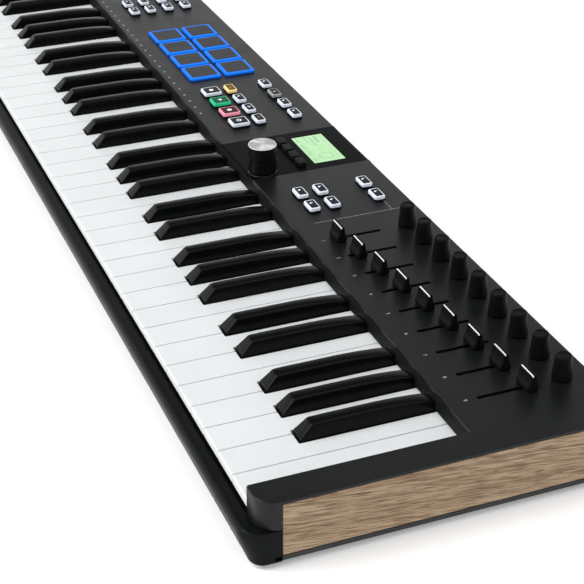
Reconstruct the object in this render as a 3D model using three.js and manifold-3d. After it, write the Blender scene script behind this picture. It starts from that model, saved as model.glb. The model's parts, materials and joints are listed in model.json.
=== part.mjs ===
// A 61-key MIDI controller keyboard: a low plastic case with wooden side panels, a full-size keybed and
// a control panel with faders, knobs, pads, lit buttons, a small display and two performance wheels.
// Millimetres, +Z up. X runs along the keys, bass on the left. The layout below measures Y backwards
// from the front edge of the white keys, and Z upwards from the surface the feet stand on.
import * as THREE from 'three';
import { mergeVertices } from 'three/addons/utils/BufferGeometryUtils.js';
import Module from 'manifold-3d';

const wasm = await Module();
wasm.setup();

// ---- driving dimensions --------------------------------------------------------------------------

const CASE_HALF_WIDTH = 444.5;
const RAIL_FRONT = -9.4;
const CASE_BACK = 225.6;
const CORNER_RADIUS = 12.5;
const FEET_HEIGHT = 3.5;
const WALL = 2;
const GAP = 0.3;

const FLOOR_TOP = FEET_HEIGHT + WALL;
const WHITE_TOP = 32.6;
const PANEL_TOP = WHITE_TOP + 10.6;
const PANEL_THICKNESS = 2.8;
const PANEL_BOTTOM = PANEL_TOP - PANEL_THICKNESS;
const FALLBOARD = 131.8;
const RAIL_TOP = 24.1;
const SIDE_SPLIT = RAIL_TOP + GAP;
const REAR_SPLIT = 32;
const CHEEK_FRONT = -1;
const CHEEK_INNER = 424;
const SIDE_WALL_OUTER = 438.9;
const SIDE_WALL_INNER = SIDE_WALL_OUTER - WALL;

const WOOD_FRONT = 12.2;
const WOOD_BOTTOM = 7.3;
const WOOD_TOP = 41;

const WHITE_PITCH = 23.5;
const WHITES_PER_OCTAVE = 7;
const OCTAVES = 5;
const OCTAVE_WIDTH = WHITE_PITCH * WHITES_PER_OCTAVE;
const KEYBED_LEFT = -(OCTAVES * OCTAVE_WIDTH + WHITE_PITCH) / 2;
const KEY_GAP = 0.5;
const HEAD_LENGTH = 44.9;
const WHITE_THICKNESS = 5.5;
const WHITE_BODY_END = 139;
const BLACK_FRONT = 45.8;
const BLACK_WIDTH = 12.1;
const BLACK_TOP_WIDTH = 7.6;
const BLACK_HEIGHT = 9.4;
const BLACK_DEPTH_BELOW = 6.5;
const PIVOT_Y = 152;
const PIVOT_Z = 24;
const PIVOT_RADIUS = 2;

const BOARD_BOTTOM = 34;
const BOARD_TOP = 35.6;
const STEM_BOTTOM = 36.4;
const MAT_BOTTOM = 37.2;
const MAT_TOP = 39.4;
const BUTTON_TOP = PANEL_TOP + 4;
const BUTTON_CLEARANCE = 0.4;

const STRIP_COUNT = 9;
const STRIP_PITCH = 26.05;
const LAST_STRIP_X = 395.9;
const SLOT_FRONT = 150.6;
const SLOT_BACK = 186.2;
const SLOT_WIDTH = 2.4;
const FIRST_FADER_Y = 154.2;
const FADER_Y_STEP = 3.63;
const KNOB_Y = 206.1;
const SHAFT_RADIUS = 3;
const SHAFT_HOLE_RADIUS = 3.6;

const ENCODER = { x: 69.2, y: 144, radius: 10.6, top: PANEL_TOP + 22.4, bottom: PANEL_TOP + 0.9 };

const DISPLAY = { left: 13, right: 80.7, bottom: PANEL_TOP - 1.3 };
const LCD = { left: 21.9, right: 71.2, front: 185.4, back: 211.1 };

const WHEEL = { y: 188, radius: 20, width: 14, rise: 9, slotLength: 39, slotWidth: 17 };
const WHEEL_Z = PANEL_TOP + WHEEL.rise - WHEEL.radius;
const PITCH_WHEEL_X = -398;
const MOD_WHEEL_X = -366;
const MOD_REST_TILT = 40;

const PAD = { left: -225, pitch: 31.5, columns: 4, width: 28, rise: 2.2 };
const PAD_ROWS = [{ y: 164, depth: 27.8 }, { y: 194.8, depth: 26.5 }];

const BUTTON_WIDTH = 14.2;
const BUTTON_PITCH = 22.2;
const SMALL_BUTTON = 8.2;
const LARGE_BUTTON = 14.6;
const TRANSPORT_LEFT = -83.8;
const BUTTON_GROUPS = {
  transport_buttons: [
    ...row(TRANSPORT_LEFT, 157, 4, LARGE_BUTTON),
    ...row(TRANSPORT_LEFT, 173.7, 4, SMALL_BUTTON),
    ...row(TRANSPORT_LEFT, 204.4, 4, SMALL_BUTTON),
  ],
  context_buttons: row(28, 174.9, 4, 6.2, 13.2, 10.6, 3),
  part_buttons: [154.4, 170, 204.4].flatMap((y) => row(118.3, y, 2, SMALL_BUTTON)),
  performance_buttons: [154.4, 170, 187.2, 204.4].flatMap((y) => row(-318, y, 2, SMALL_BUTTON)),
};

const SOCKETS = { z: 20, usbX: -330, midiX: -295, pedalX: -255 };
const CONNECTOR_PLATE = { left: -344, right: -242, bottom: 8 };
const REAR_WALL_INNER = CASE_BACK - WALL;

const FEET = [[-400, 14], [400, 14], [-400, 208], [400, 208]];
const FOOT = { radius: 9, pegRadius: 3, pegHoleRadius: 3.3 };

// ---- materials -----------------------------------------------------------------------------------

const material = (color, roughness, metalness = 0) =>
  new THREE.MeshStandardMaterial({ color, roughness, metalness });
const casePlastic = material(0x2b2d2e, 0.6);
const wood = material(0xb9996f, 0.55);
const whiteKeyPlastic = material(0xeef0f0, 0.25);
const blackKeyPlastic = material(0x1b1e1f, 0.4);
const chassisPlastic = material(0x4b4d50, 0.7);
const glossPlastic = material(0x111214, 0.15);
const circuitBoard = material(0x1d4f33, 0.6);
const screenGreen = material(0xb6f0a8, 0.3);
const softRubber = material(0x202224, 0.8);
const knobPlastic = material(0x1c1e1f, 0.5);
const litPlastic = material(0xe9ebf6, 0.35);
const platedSteel = material(0xa6a8aa, 0.35, 1);

// ---- geometry helpers ----------------------------------------------------------------------------

function row(firstX, y, count, depth, pitch = BUTTON_PITCH, width = BUTTON_WIDTH, rise = 4) {
  return Array.from({ length: count }, (_, i) => ({ x: firstX + i * pitch, y, width, depth, rise }));
}

function solid(geometry) {
  const bare = geometry.clone();
  bare.deleteAttribute('normal');
  bare.deleteAttribute('uv');
  const merged = mergeVertices(bare);
  return new wasm.Manifold(new wasm.Mesh({
    numProp: 3,
    vertProperties: new Float32Array(merged.attributes.position.array),
    triVerts: new Uint32Array(merged.index.array),
  }));
}

function box(x0, x1, y0, y1, z0, z1) {
  const geometry = new THREE.BoxGeometry(x1 - x0, y1 - y0, z1 - z0);
  return solid(geometry.translate((x0 + x1) / 2, (y0 + y1) / 2, (z0 + z1) / 2));
}

function plate(outline, z0, z1) {
  const shape = outline instanceof THREE.Shape ? outline : new THREE.Shape(toVectors(outline));
  const settings = { depth: z1 - z0, bevelEnabled: false, curveSegments: 6 };
  return solid(new THREE.ExtrudeGeometry(shape, settings).translate(0, 0, z0));
}

// A profile drawn in the YZ plane and swept along X from x0 to x1.
function sweepAlongX(profile, x0, x1) {
  const shape = new THREE.Shape(toVectors(profile));
  const geometry = new THREE.ExtrudeGeometry(shape, { depth: x1 - x0, bevelEnabled: false });
  const turn = new THREE.Matrix4().makeBasis(
    new THREE.Vector3(0, 1, 0), new THREE.Vector3(0, 0, 1), new THREE.Vector3(1, 0, 0));
  return solid(geometry.applyMatrix4(turn).translate(x0, 0, 0));
}

// A profile drawn in the XZ plane and swept along Y from y0 to y1.
function sweepAlongY(profile, y0, y1) {
  const shape = new THREE.Shape(toVectors(profile));
  const geometry = new THREE.ExtrudeGeometry(shape, { depth: y1 - y0, bevelEnabled: false });
  return solid(geometry.rotateX(Math.PI / 2).translate(0, y1, 0));
}

function upright(radius, x, y, z0, z1, segments = 8) {
  const geometry = new THREE.CylinderGeometry(radius, radius, z1 - z0, segments).rotateX(Math.PI / 2);
  return solid(geometry.translate(x, y, (z0 + z1) / 2));
}

function lyingAlongX(radius, x0, x1, y, z, segments) {
  const geometry = new THREE.CylinderGeometry(radius, radius, x1 - x0, segments).rotateZ(Math.PI / 2);
  return solid(geometry.translate((x0 + x1) / 2, y, z));
}

function lyingAlongY(radius, x, y0, y1, z, segments = 16) {
  const geometry = new THREE.CylinderGeometry(radius, radius, y1 - y0, segments);
  return solid(geometry.translate(x, (y0 + y1) / 2, z));
}

// A turned piece: [radius, height] points from the bottom of the axis to the top of the axis.
function turned(profile, segments) {
  return solid(new THREE.LatheGeometry(toVectors(profile), segments).rotateX(Math.PI / 2));
}

function toVectors(points) {
  return points.map(([a, b]) => new THREE.Vector2(a, b));
}

function join(pieces) {
  return pieces.reduce((whole, piece) => whole.add(piece));
}

function cut(body, tools) {
  return tools.reduce((rest, tool) => rest.subtract(tool), body);
}

function arcPoints(y, z, radius, fromDegrees, toDegrees, steps) {
  return Array.from({ length: steps + 1 }, (_, i) => {
    const angle = THREE.MathUtils.degToRad(fromDegrees + (toDegrees - fromDegrees) * i / steps);
    return [y + radius * Math.cos(angle), z + radius * Math.sin(angle)];
  });
}

const keyboard = new THREE.Group();
const instrument = new THREE.Group();
instrument.position.y = -(RAIL_FRONT + CASE_BACK) / 2;
keyboard.add(instrument);

function addPiece(name, body, surface, [x, y, z] = [0, 0, 0]) {
  const { vertProperties, triVerts } = body.getMesh();
  const geometry = new THREE.BufferGeometry();
  geometry.setAttribute('position', new THREE.BufferAttribute(new Float32Array(vertProperties), 3));
  geometry.setIndex(new THREE.BufferAttribute(new Uint32Array(triVerts), 1));
  geometry.computeVertexNormals();
  const mesh = new THREE.Mesh(geometry, surface);
  mesh.name = name;
  mesh.position.set(x, y, z);
  instrument.add(mesh);
}

// ---- case ----------------------------------------------------------------------------------------

// The plan of the case: rounded front corners and square rear ones.
function casePlan(front, halfWidth = CASE_HALF_WIDTH, back = CASE_BACK) {
  const shape = new THREE.Shape();
  shape.moveTo(-halfWidth, back);
  shape.lineTo(-halfWidth, front + CORNER_RADIUS);
  shape.absarc(-halfWidth + CORNER_RADIUS, front + CORNER_RADIUS, CORNER_RADIUS, Math.PI, 1.5 * Math.PI);
  shape.absarc(halfWidth - CORNER_RADIUS, front + CORNER_RADIUS, CORNER_RADIUS, 1.5 * Math.PI, 2 * Math.PI);
  shape.lineTo(halfWidth, back);
  return shape;
}

// The recess that a wooden side panel lies in, on the side that `sign` gives.
function woodRecess(sign, z0, z1) {
  const inner = sign * SIDE_WALL_OUTER;
  const outer = sign * (CASE_HALF_WIDTH + 1);
  return box(Math.min(inner, outer), Math.max(inner, outer), WOOD_FRONT - GAP, CASE_BACK + 1, z0, z1);
}

function stripX(index) {
  return LAST_STRIP_X - (STRIP_COUNT - 1 - index) * STRIP_PITCH;
}

function rectangleHole({ x, y, width, depth }, z0, z1, clearance = BUTTON_CLEARANCE) {
  const halfWidth = width / 2 + clearance;
  const halfDepth = depth / 2 + clearance;
  return box(x - halfWidth, x + halfWidth, y - halfDepth, y + halfDepth, z0, z1);
}

function padPlaces() {
  return PAD_ROWS.flatMap(({ y, depth }) => Array.from({ length: PAD.columns }, (_, i) =>
    ({ x: PAD.left + i * PAD.pitch, y, width: PAD.width, depth })));
}

function panelOpenings() {
  const z0 = PANEL_BOTTOM - 1;
  const z1 = PANEL_TOP + 1;
  const openings = [...Object.values(BUTTON_GROUPS).flat(), ...padPlaces()]
    .map((place) => rectangleHole(place, z0, z1));
  for (let i = 0; i < STRIP_COUNT; i++) {
    openings.push(box(stripX(i) - SLOT_WIDTH / 2, stripX(i) + SLOT_WIDTH / 2, SLOT_FRONT, SLOT_BACK, z0, z1));
    openings.push(upright(SHAFT_HOLE_RADIUS, stripX(i), KNOB_Y, z0, z1));
  }
  openings.push(upright(SHAFT_HOLE_RADIUS, ENCODER.x, ENCODER.y, z0, z1));
  openings.push(box(LCD.left, LCD.right, LCD.front, LCD.back, z0, z1));
  for (const x of [PITCH_WHEEL_X, MOD_WHEEL_X]) {
    const place = { x, y: WHEEL.y, width: WHEEL.slotWidth, depth: WHEEL.slotLength };
    openings.push(rectangleHole(place, z0, z1, 0));
  }
  return openings;
}

// Two plates under the panel that carry a wheel's axle in slots open at the bottom.
function wheelHangers(x) {
  const axleSlot = [[-2.8, -9], [2.8, -9], ...arcPoints(0, 0, 2.8, 0, 180, 4)];
  return [-1, 1].map((side) => {
    const inner = x + side * (WHEEL.width / 2 + 1.4);
    const outer = inner + side * WALL;
    const [x0, x1] = [Math.min(inner, outer), Math.max(inner, outer)];
    const leaf = box(x0, x1, WHEEL.y - 6, WHEEL.y + 6, WHEEL_Z - 4, PANEL_BOTTOM + 0.5);
    const placed = axleSlot.map(([y, z]) => [WHEEL.y + y, WHEEL_Z + z]);
    return leaf.subtract(sweepAlongX(placed, x0 - 1, x1 + 1));
  });
}

function topCase() {
  const body = plate(casePlan(CHEEK_FRONT), SIDE_SPLIT, PANEL_TOP);
  const below = SIDE_SPLIT - 1;
  const behindCheekFront = CHEEK_FRONT + WALL;
  const hollows = [
    box(-CHEEK_INNER, CHEEK_INNER, CHEEK_FRONT - 1, FALLBOARD, below, PANEL_TOP + 1),
    box(-CHEEK_INNER, CHEEK_INNER, FALLBOARD - 1, FALLBOARD + WALL + 1, below, WHITE_TOP + 0.8),
    box(-SIDE_WALL_INNER, SIDE_WALL_INNER, FALLBOARD + WALL, REAR_WALL_INNER, below, PANEL_BOTTOM),
    box(-SIDE_WALL_OUTER, SIDE_WALL_OUTER, REAR_WALL_INNER - 1, CASE_BACK + 1, below, REAR_SPLIT + GAP),
    woodRecess(-1, below, WOOD_TOP + GAP),
    woodRecess(1, below, WOOD_TOP + GAP),
    box(DISPLAY.left, DISPLAY.right, FALLBOARD - 1, CASE_BACK + 1, DISPLAY.bottom - GAP, PANEL_TOP + 1),
    ...panelOpenings(),
  ];
  for (const side of [-1, 1]) {
    const inner = side * (CHEEK_INNER + WALL);
    const outer = side * SIDE_WALL_INNER;
    const [x0, x1] = [Math.min(inner, outer), Math.max(inner, outer)];
    hollows.push(box(x0, x1, behindCheekFront, FALLBOARD + WALL + 1, below, PANEL_BOTTOM));
  }
  const posts = [];
  for (const x of [-335, -240, -100, 0, 100, 160, 408]) {
    posts.push(upright(3, x, 217, BOARD_TOP + GAP, PANEL_BOTTOM + 0.5));
  }
  return join([cut(body, hollows), ...posts, ...wheelHangers(PITCH_WHEEL_X), ...wheelHangers(MOD_WHEEL_X)]);
}

// The rail in front of the keys: a bullnose lip that is hollow behind.
function frontRail() {
  const outside = [
    [-4.6, FEET_HEIGHT], [-6.5, 8.6], [-8, 12.6], [-9, 16.6],
    [RAIL_FRONT, 20], [-8.6, 22.6], [-6.5, RAIL_TOP],
  ];
  const lip = [[-0.8, RAIL_TOP], [-0.8, 16], [-2.8, 16], [-2.8, 22.1]];
  const inside = [
    [-5.8, 22.1], [-7.2, 20], [-6.9, 16.6], [-5.9, 12.6], [-4.4, 8.6],
    [-3, FLOOR_TOP], [2, FLOOR_TOP], [2, FEET_HEIGHT],
  ];
  const swept = sweepAlongX([...outside, ...lip, ...inside], -CASE_HALF_WIDTH, CASE_HALF_WIDTH);
  return swept.intersect(plate(casePlan(RAIL_FRONT), FEET_HEIGHT, RAIL_TOP));
}

function bottomCase() {
  const rim = plate(casePlan(-4.6), FEET_HEIGHT, WOOD_BOTTOM - GAP);
  const tray = box(-SIDE_WALL_OUTER, SIDE_WALL_OUTER, -4, CASE_BACK, FEET_HEIGHT, REAR_SPLIT);
  const cornerProfile = [
    [-4.6, FEET_HEIGHT], [RAIL_FRONT, 20], [-6.5, RAIL_TOP],
    [WOOD_FRONT - GAP, RAIL_TOP], [WOOD_FRONT - GAP, FEET_HEIGHT],
  ];
  const corners = plate(casePlan(RAIL_FRONT), FEET_HEIGHT, RAIL_TOP)
    .intersect(sweepAlongX(cornerProfile, -CASE_HALF_WIDTH, CASE_HALF_WIDTH));
  const inside = box(-SIDE_WALL_INNER, SIDE_WALL_INNER, -12, REAR_WALL_INNER, FLOOR_TOP, REAR_SPLIT + 1);
  const aboveSides = box(-CASE_HALF_WIDTH, CASE_HALF_WIDTH, -12, REAR_WALL_INNER, RAIL_TOP, REAR_SPLIT + 1);
  const plateWindow = connectorPlateBlank(GAP, REAR_WALL_INNER - 1, CASE_BACK + 1, REAR_SPLIT + 1);
  const pegHoles = FEET.map(([x, y]) => upright(FOOT.pegHoleRadius, x, y, FEET_HEIGHT - 1, FLOOR_TOP + 1));
  const shell = cut(join([rim, tray, corners]), [inside, aboveSides, plateWindow, ...pegHoles]);
  const bosses = [-360, -180, 0, 180, 360].flatMap((x) =>
    [30, 90, 140].map((y) => upright(4, x, y, FEET_HEIGHT + 0.5, FLOOR_TOP + 1.7)));
  return join([shell, frontRail(), ...bosses]);
}

function connectorPlateBlank(margin, y0, y1, z1) {
  const { left, right, bottom } = CONNECTOR_PLATE;
  return box(left - margin, right + margin, y0, y1, bottom - margin, z1);
}

// The part of the rear wall that the sockets come through, a plate of its own.
function connectorPlate() {
  const { z, usbX, midiX, pedalX } = SOCKETS;
  const [y0, y1] = [REAR_WALL_INNER - 1, CASE_BACK + 1];
  return cut(connectorPlateBlank(0, REAR_WALL_INNER, CASE_BACK, REAR_SPLIT), [
    box(usbX - 5, usbX + 5, y0, y1, z - 2.2, z + 2.2),
    lyingAlongY(8.4, midiX, y0, y1, z, 20),
    lyingAlongY(5.6, pedalX, y0, y1, z),
  ]);
}

function woodPanel(side) {
  const inner = side * (SIDE_WALL_OUTER + GAP);
  const outer = side * CASE_HALF_WIDTH;
  return box(Math.min(inner, outer), Math.max(inner, outer), WOOD_FRONT, CASE_BACK, WOOD_BOTTOM, WOOD_TOP);
}

addPiece('top_case', topCase(), casePlastic);
addPiece('bottom_case', bottomCase(), casePlastic);
addPiece('connector_plate', connectorPlate(), casePlastic);
addPiece('wood_panel_left', woodPanel(-1), wood);
addPiece('wood_panel_right', woodPanel(1), wood);

FEET.forEach(([x, y], i) => {
  const { radius } = FOOT;
  const top = FEET_HEIGHT - GAP;
  const pad = turned([[0, 0], [radius - 1, 0], [radius, 1], [radius, top], [0, top]], 16);
  const peg = upright(FOOT.pegRadius, 0, 0, FEET_HEIGHT - 1, FLOOR_TOP + 1.2);
  addPiece(`foot_${i + 1}`, pad.add(peg), softRubber, [x, y, 0]);
});

// ---- keybed --------------------------------------------------------------------------------------

// The chassis under the keys: a base plate, a front stop beam, and a rail that the keys hook onto.
function keyFrame() {
  const halfWidth = CHEEK_INNER - 2;
  const base = FLOOR_TOP + 2;
  const profile = [
    [8, base], [158, base], [158, base + 3.5], [PIVOT_Y + 1, base + 3.5],
    ...arcPoints(PIVOT_Y, PIVOT_Z, PIVOT_RADIUS, -60, 240, 6), [PIVOT_Y - 1, base + WALL],
    [22, base + WALL], [20, 16.8], [12, 16.8], [8, base + WALL],
  ];
  return sweepAlongX(profile, -halfWidth, halfWidth);
}

addPiece('key_frame', keyFrame(), chassisPlastic);

const hookNotch = [
  [PIVOT_Y - PIVOT_RADIUS - GAP, 20],
  ...arcPoints(PIVOT_Y, PIVOT_Z, PIVOT_RADIUS + GAP, 180, 0, 4),
  [PIVOT_Y + PIVOT_RADIUS + GAP, 20],
];

// The names and rear widths of an octave's keys: C to E share five equal cells, F to B share seven.
function octaveCells() {
  const names = ['C', 'Cs', 'D', 'Ds', 'E', 'F', 'Fs', 'G', 'Gs', 'A', 'As', 'B'];
  const lowerWidth = 3 * WHITE_PITCH / 5;
  const upperWidth = 4 * WHITE_PITCH / 7;
  let from = 0;
  let whites = 0;
  return names.map((name, i) => {
    const width = i < 5 ? lowerWidth : upperWidth;
    const cell = { name, black: name.endsWith('s'), from, to: from + width, head: whites * WHITE_PITCH };
    from += width;
    whites += cell.black ? 0 : 1;
    return cell;
  });
}

function whiteKey(headLeft, cellLeft, cellRight) {
  const left = headLeft + KEY_GAP;
  const right = headLeft + WHITE_PITCH - KEY_GAP;
  const tailLeft = Math.max(cellLeft + GAP, left);
  const tailRight = Math.min(cellRight - GAP, right);
  const outline = [[left, 0], [right, 0]];
  if (right > tailRight) outline.push([right, HEAD_LENGTH], [tailRight, HEAD_LENGTH]);
  outline.push([tailRight, WHITE_BODY_END], [tailLeft, WHITE_BODY_END]);
  if (left < tailLeft) outline.push([tailLeft, HEAD_LENGTH], [left, HEAD_LENGTH]);
  const top = plate(outline, WHITE_TOP - WHITE_THICKNESS, WHITE_TOP);
  const hook = [
    [130, 28], [134, 20], ...hookNotch, [156, 20], [156, 27.4],
    [WHITE_BODY_END, 27.4], [WHITE_BODY_END - 1, 28],
  ];
  return top.add(sweepAlongX(hook, tailLeft, tailRight));
}

function blackKey(centre) {
  const bottom = WHITE_TOP - BLACK_DEPTH_BELOW;
  const top = WHITE_TOP + BLACK_HEIGHT;
  const tailTop = WHITE_TOP - 0.5;
  const halfBase = BLACK_WIDTH / 2;
  const halfTop = BLACK_TOP_WIDTH / 2;
  const side = [
    [BLACK_FRONT, bottom], [148, bottom], [148, 20], ...hookNotch, [156, 20], [156, 28],
    [149, 28], [148, tailTop],
    [129, tailTop], [128.4, top - 3], [95, top], [BLACK_FRONT + 8, top - 0.1], [BLACK_FRONT, WHITE_TOP + 0.5],
  ];
  const section = [
    [-halfBase, 19], [halfBase, 19], [halfBase, WHITE_TOP],
    [halfTop, top + 1], [-halfTop, top + 1], [-halfBase, WHITE_TOP],
  ];
  const key = sweepAlongX(side, centre - halfBase, centre + halfBase);
  return key.intersect(sweepAlongY(section.map(([x, z]) => [centre + x, z]), BLACK_FRONT - 1, 157));
}

function keyFromCell(cell, octaveLeft) {
  if (cell.black) return blackKey(octaveLeft + (cell.from + cell.to) / 2);
  return whiteKey(octaveLeft + cell.head, octaveLeft + cell.from, octaveLeft + cell.to);
}

function octaveLeft(index) {
  return KEYBED_LEFT + index * OCTAVE_WIDTH;
}

// The keys of two octaves of one colour, moulded together behind the fallboard.
function keyComb(firstOctave, black) {
  const cells = octaveCells().filter((cell) => cell.black === black);
  const keys = [firstOctave, firstOctave + 1].flatMap((index) =>
    cells.map((cell) => keyFromCell(cell, octaveLeft(index))));
  const left = octaveLeft(firstOctave);
  const right = octaveLeft(firstOctave + 2);
  const web = black
    ? box(left + 15, right - 15, WHITE_BODY_END + 1, 147, 28.6, WHITE_TOP - 0.6)
    : box(left + 2, right - 2, 136, 146, 20, 24);
  return join([...keys, web]);
}

addPiece('white_keys_C2_B3', keyComb(0, false), whiteKeyPlastic);
addPiece('white_keys_C4_B5', keyComb(2, false), whiteKeyPlastic);
addPiece('black_keys_C2_B3', keyComb(0, true), blackKeyPlastic);
addPiece('black_keys_C4_B5', keyComb(2, true), blackKeyPlastic);

const topOctave = octaveLeft(OCTAVES - 1);
for (const cell of octaveCells()) {
  const surface = cell.black ? blackKeyPlastic : whiteKeyPlastic;
  addPiece(`key_${cell.name}6`, keyFromCell(cell, topOctave), surface);
}
const lastKeyLeft = octaveLeft(OCTAVES);
addPiece('key_C7', whiteKey(lastKeyLeft, lastKeyLeft, lastKeyLeft + WHITE_PITCH), whiteKeyPlastic);

// ---- display, board and sockets ------------------------------------------------------------------

function displayWindow() {
  const z0 = DISPLAY.bottom;
  const z1 = PANEL_TOP;
  const sheet = box(DISPLAY.left + GAP, DISPLAY.right - GAP, FALLBOARD, CASE_BACK, z0, z1);
  return cut(sheet, [
    box(LCD.left, LCD.right, LCD.front, LCD.back, z0 - 1, z1 + 1),
    upright(SHAFT_HOLE_RADIUS, ENCODER.x, ENCODER.y, z0 - 1, z1 + 1),
    ...BUTTON_GROUPS.context_buttons.map((place) => rectangleHole(place, z0 - 1, z1 + 1)),
  ]);
}

function lcdModule() {
  const { left, right, front, back } = LCD;
  const body = box(left - 5, right + 5, front - 4, back + 2.5, BOARD_TOP + GAP, PANEL_BOTTOM - GAP);
  return body.add(box(left + GAP, right - GAP, front + GAP, back - GAP, PANEL_BOTTOM - 1, PANEL_TOP - GAP));
}

addPiece('display_window', displayWindow(), glossPlastic);
addPiece('lcd_module', lcdModule(), screenGreen);
addPiece('main_board', box(-345, 418, 142, 221, BOARD_BOTTOM, BOARD_TOP), circuitBoard);

function usbSocket() {
  const back = CASE_BACK - GAP;
  const shell = box(-4.5, 4.5, back - 8, back, -1.7, 1.7);
  const mouth = box(-4, 4, back - 6.5, back + 1, -1.2, 1.2);
  const tongue = box(-3, 3, back - 7, back - 1.5, -0.35, 0.35);
  return shell.subtract(mouth).add(tongue);
}

function midiSocket() {
  const inner = REAR_WALL_INNER - GAP;
  const body = box(-10, 10, inner - 15, inner, -10, 9.5);
  const rim = lyingAlongY(8.1, 0, inner - 1, CASE_BACK, 0, 20);
  return cut(body.add(rim), [lyingAlongY(7.2, 0, inner - 8, CASE_BACK + 1, 0, 20)]);
}

function pedalJack() {
  const inner = REAR_WALL_INNER - GAP;
  const body = box(-8, 8, inner - 26, inner, -8, 8);
  const nut = lyingAlongY(5.3, 0, inner - 1, CASE_BACK, 0, 12);
  return cut(body.add(nut), [lyingAlongY(3.4, 0, inner - 24, CASE_BACK + 1, 0, 12)]);
}

addPiece('usb_socket', usbSocket(), platedSteel, [SOCKETS.usbX, 0, SOCKETS.z]);
addPiece('midi_socket', midiSocket(), glossPlastic, [SOCKETS.midiX, 0, SOCKETS.z]);
addPiece('pedal_jack', pedalJack(), glossPlastic, [SOCKETS.pedalX, 0, SOCKETS.z]);

// ---- controls ------------------------------------------------------------------------------------

function faderCap() {
  const profile = [[-4.1, GAP], [4.1, GAP], [3.7, 4], [1, 11], [-1, 11], [-3.7, 4]];
  const taper = [[-7.5, 0], [7.5, 0], [7.3, 11.2], [-7.3, 11.2]];
  const cap = sweepAlongX(profile, -8, 8).intersect(sweepAlongY(taper, -5, 5));
  return cap.add(box(-0.8, 0.8, -2, 2, STEM_BOTTOM - PANEL_TOP, 1));
}

function knob() {
  const cap = turned([[0, 0.4], [5.5, 0.4], [6.2, 1.6], [5, 15.4], [4.2, 16.3], [0, 16.3]], 16);
  return cap.add(upright(SHAFT_RADIUS, 0, 0, STEM_BOTTOM - PANEL_TOP, 1));
}

for (let i = 0; i < STRIP_COUNT; i++) {
  const y = FIRST_FADER_Y + i * FADER_Y_STEP;
  addPiece(`fader_${i + 1}`, faderCap(), knobPlastic, [stripX(i), y, PANEL_TOP]);
}
for (let i = 0; i < STRIP_COUNT; i++) {
  addPiece(`knob_${i + 1}`, knob(), knobPlastic, [stripX(i), KNOB_Y, PANEL_TOP]);
}

function encoderKnob() {
  const r = ENCODER.radius;
  const base = ENCODER.bottom;
  const top = ENCODER.top;
  const cap = turned([[0, base], [r - 0.6, base], [r, base + 1], [r, top - 1], [r - 1, top], [0, top]], 24);
  return cap.subtract(upright(SHAFT_RADIUS + GAP, 0, 0, base - 1, top - 6, 16));
}

const encoderShaft = upright(SHAFT_RADIUS, 0, 0, STEM_BOTTOM + 0.6, ENCODER.top - 6.5, 16);
addPiece('encoder_shaft', encoderShaft, platedSteel, [ENCODER.x, ENCODER.y, 0]);
addPiece('encoder_knob', encoderKnob(), knobPlastic, [ENCODER.x, ENCODER.y, 0]);

// A performance wheel about its own axle, with a finger dimple turned towards the player by `tilt`.
function wheel(tilt) {
  const half = WHEEL.width / 2;
  const angle = THREE.MathUtils.degToRad(tilt);
  const reach = WHEEL.radius + 6;
  const disc = lyingAlongX(WHEEL.radius, -half, half, 0, 0, 32);
  const dimple = lyingAlongX(8, -half - 1, half + 1, -reach * Math.sin(angle), reach * Math.cos(angle), 12);
  return disc.subtract(dimple).add(lyingAlongX(2.4, -half - 3.2, half + 3.2, 0, 0, 8));
}

addPiece('pitch_wheel', wheel(0), softRubber, [PITCH_WHEEL_X, WHEEL.y, WHEEL_Z]);
addPiece('mod_wheel', wheel(MOD_REST_TILT), softRubber, [MOD_WHEEL_X, WHEEL.y, WHEEL_Z]);

function extent(places, side) {
  const half = side === 'x' ? 'width' : 'depth';
  const lows = places.map((place) => place[side] - place[half] / 2);
  const highs = places.map((place) => place[side] + place[half] / 2);
  return [Math.min(...lows), Math.max(...highs)];
}

// A moulded mat: raised caps standing on one web under the panel.
function mat(places, topOf) {
  const [x0, x1] = extent(places, 'x');
  const [y0, y1] = extent(places, 'y');
  const caps = places.map((place) => rectangleHole(place, MAT_TOP - 0.5, topOf(place), 0));
  return join([box(x0, x1, y0, y1, MAT_BOTTOM, MAT_TOP), ...caps]);
}

addPiece('pad_mat', mat(padPlaces(), () => PANEL_TOP + PAD.rise), softRubber);
for (const [name, places] of Object.entries(BUTTON_GROUPS)) {
  addPiece(name, mat(places, (place) => PANEL_TOP + place.rise), litPlastic);
}

export default keyboard;
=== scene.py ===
"""The looks of a 61-key MIDI controller keyboard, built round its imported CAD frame.

Shapes are written in the layout's own units, millimetres: X along the keys from bass to treble,
Y backwards from the white keys' front edge, Z upwards from the surface that the feet stand on.
make_piece turns them into metres in the frame.
"""
import json
import math

import bmesh
import bpy
from mathutils import Matrix, Vector
from mathutils.geometry import tessellate_polygon


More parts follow.
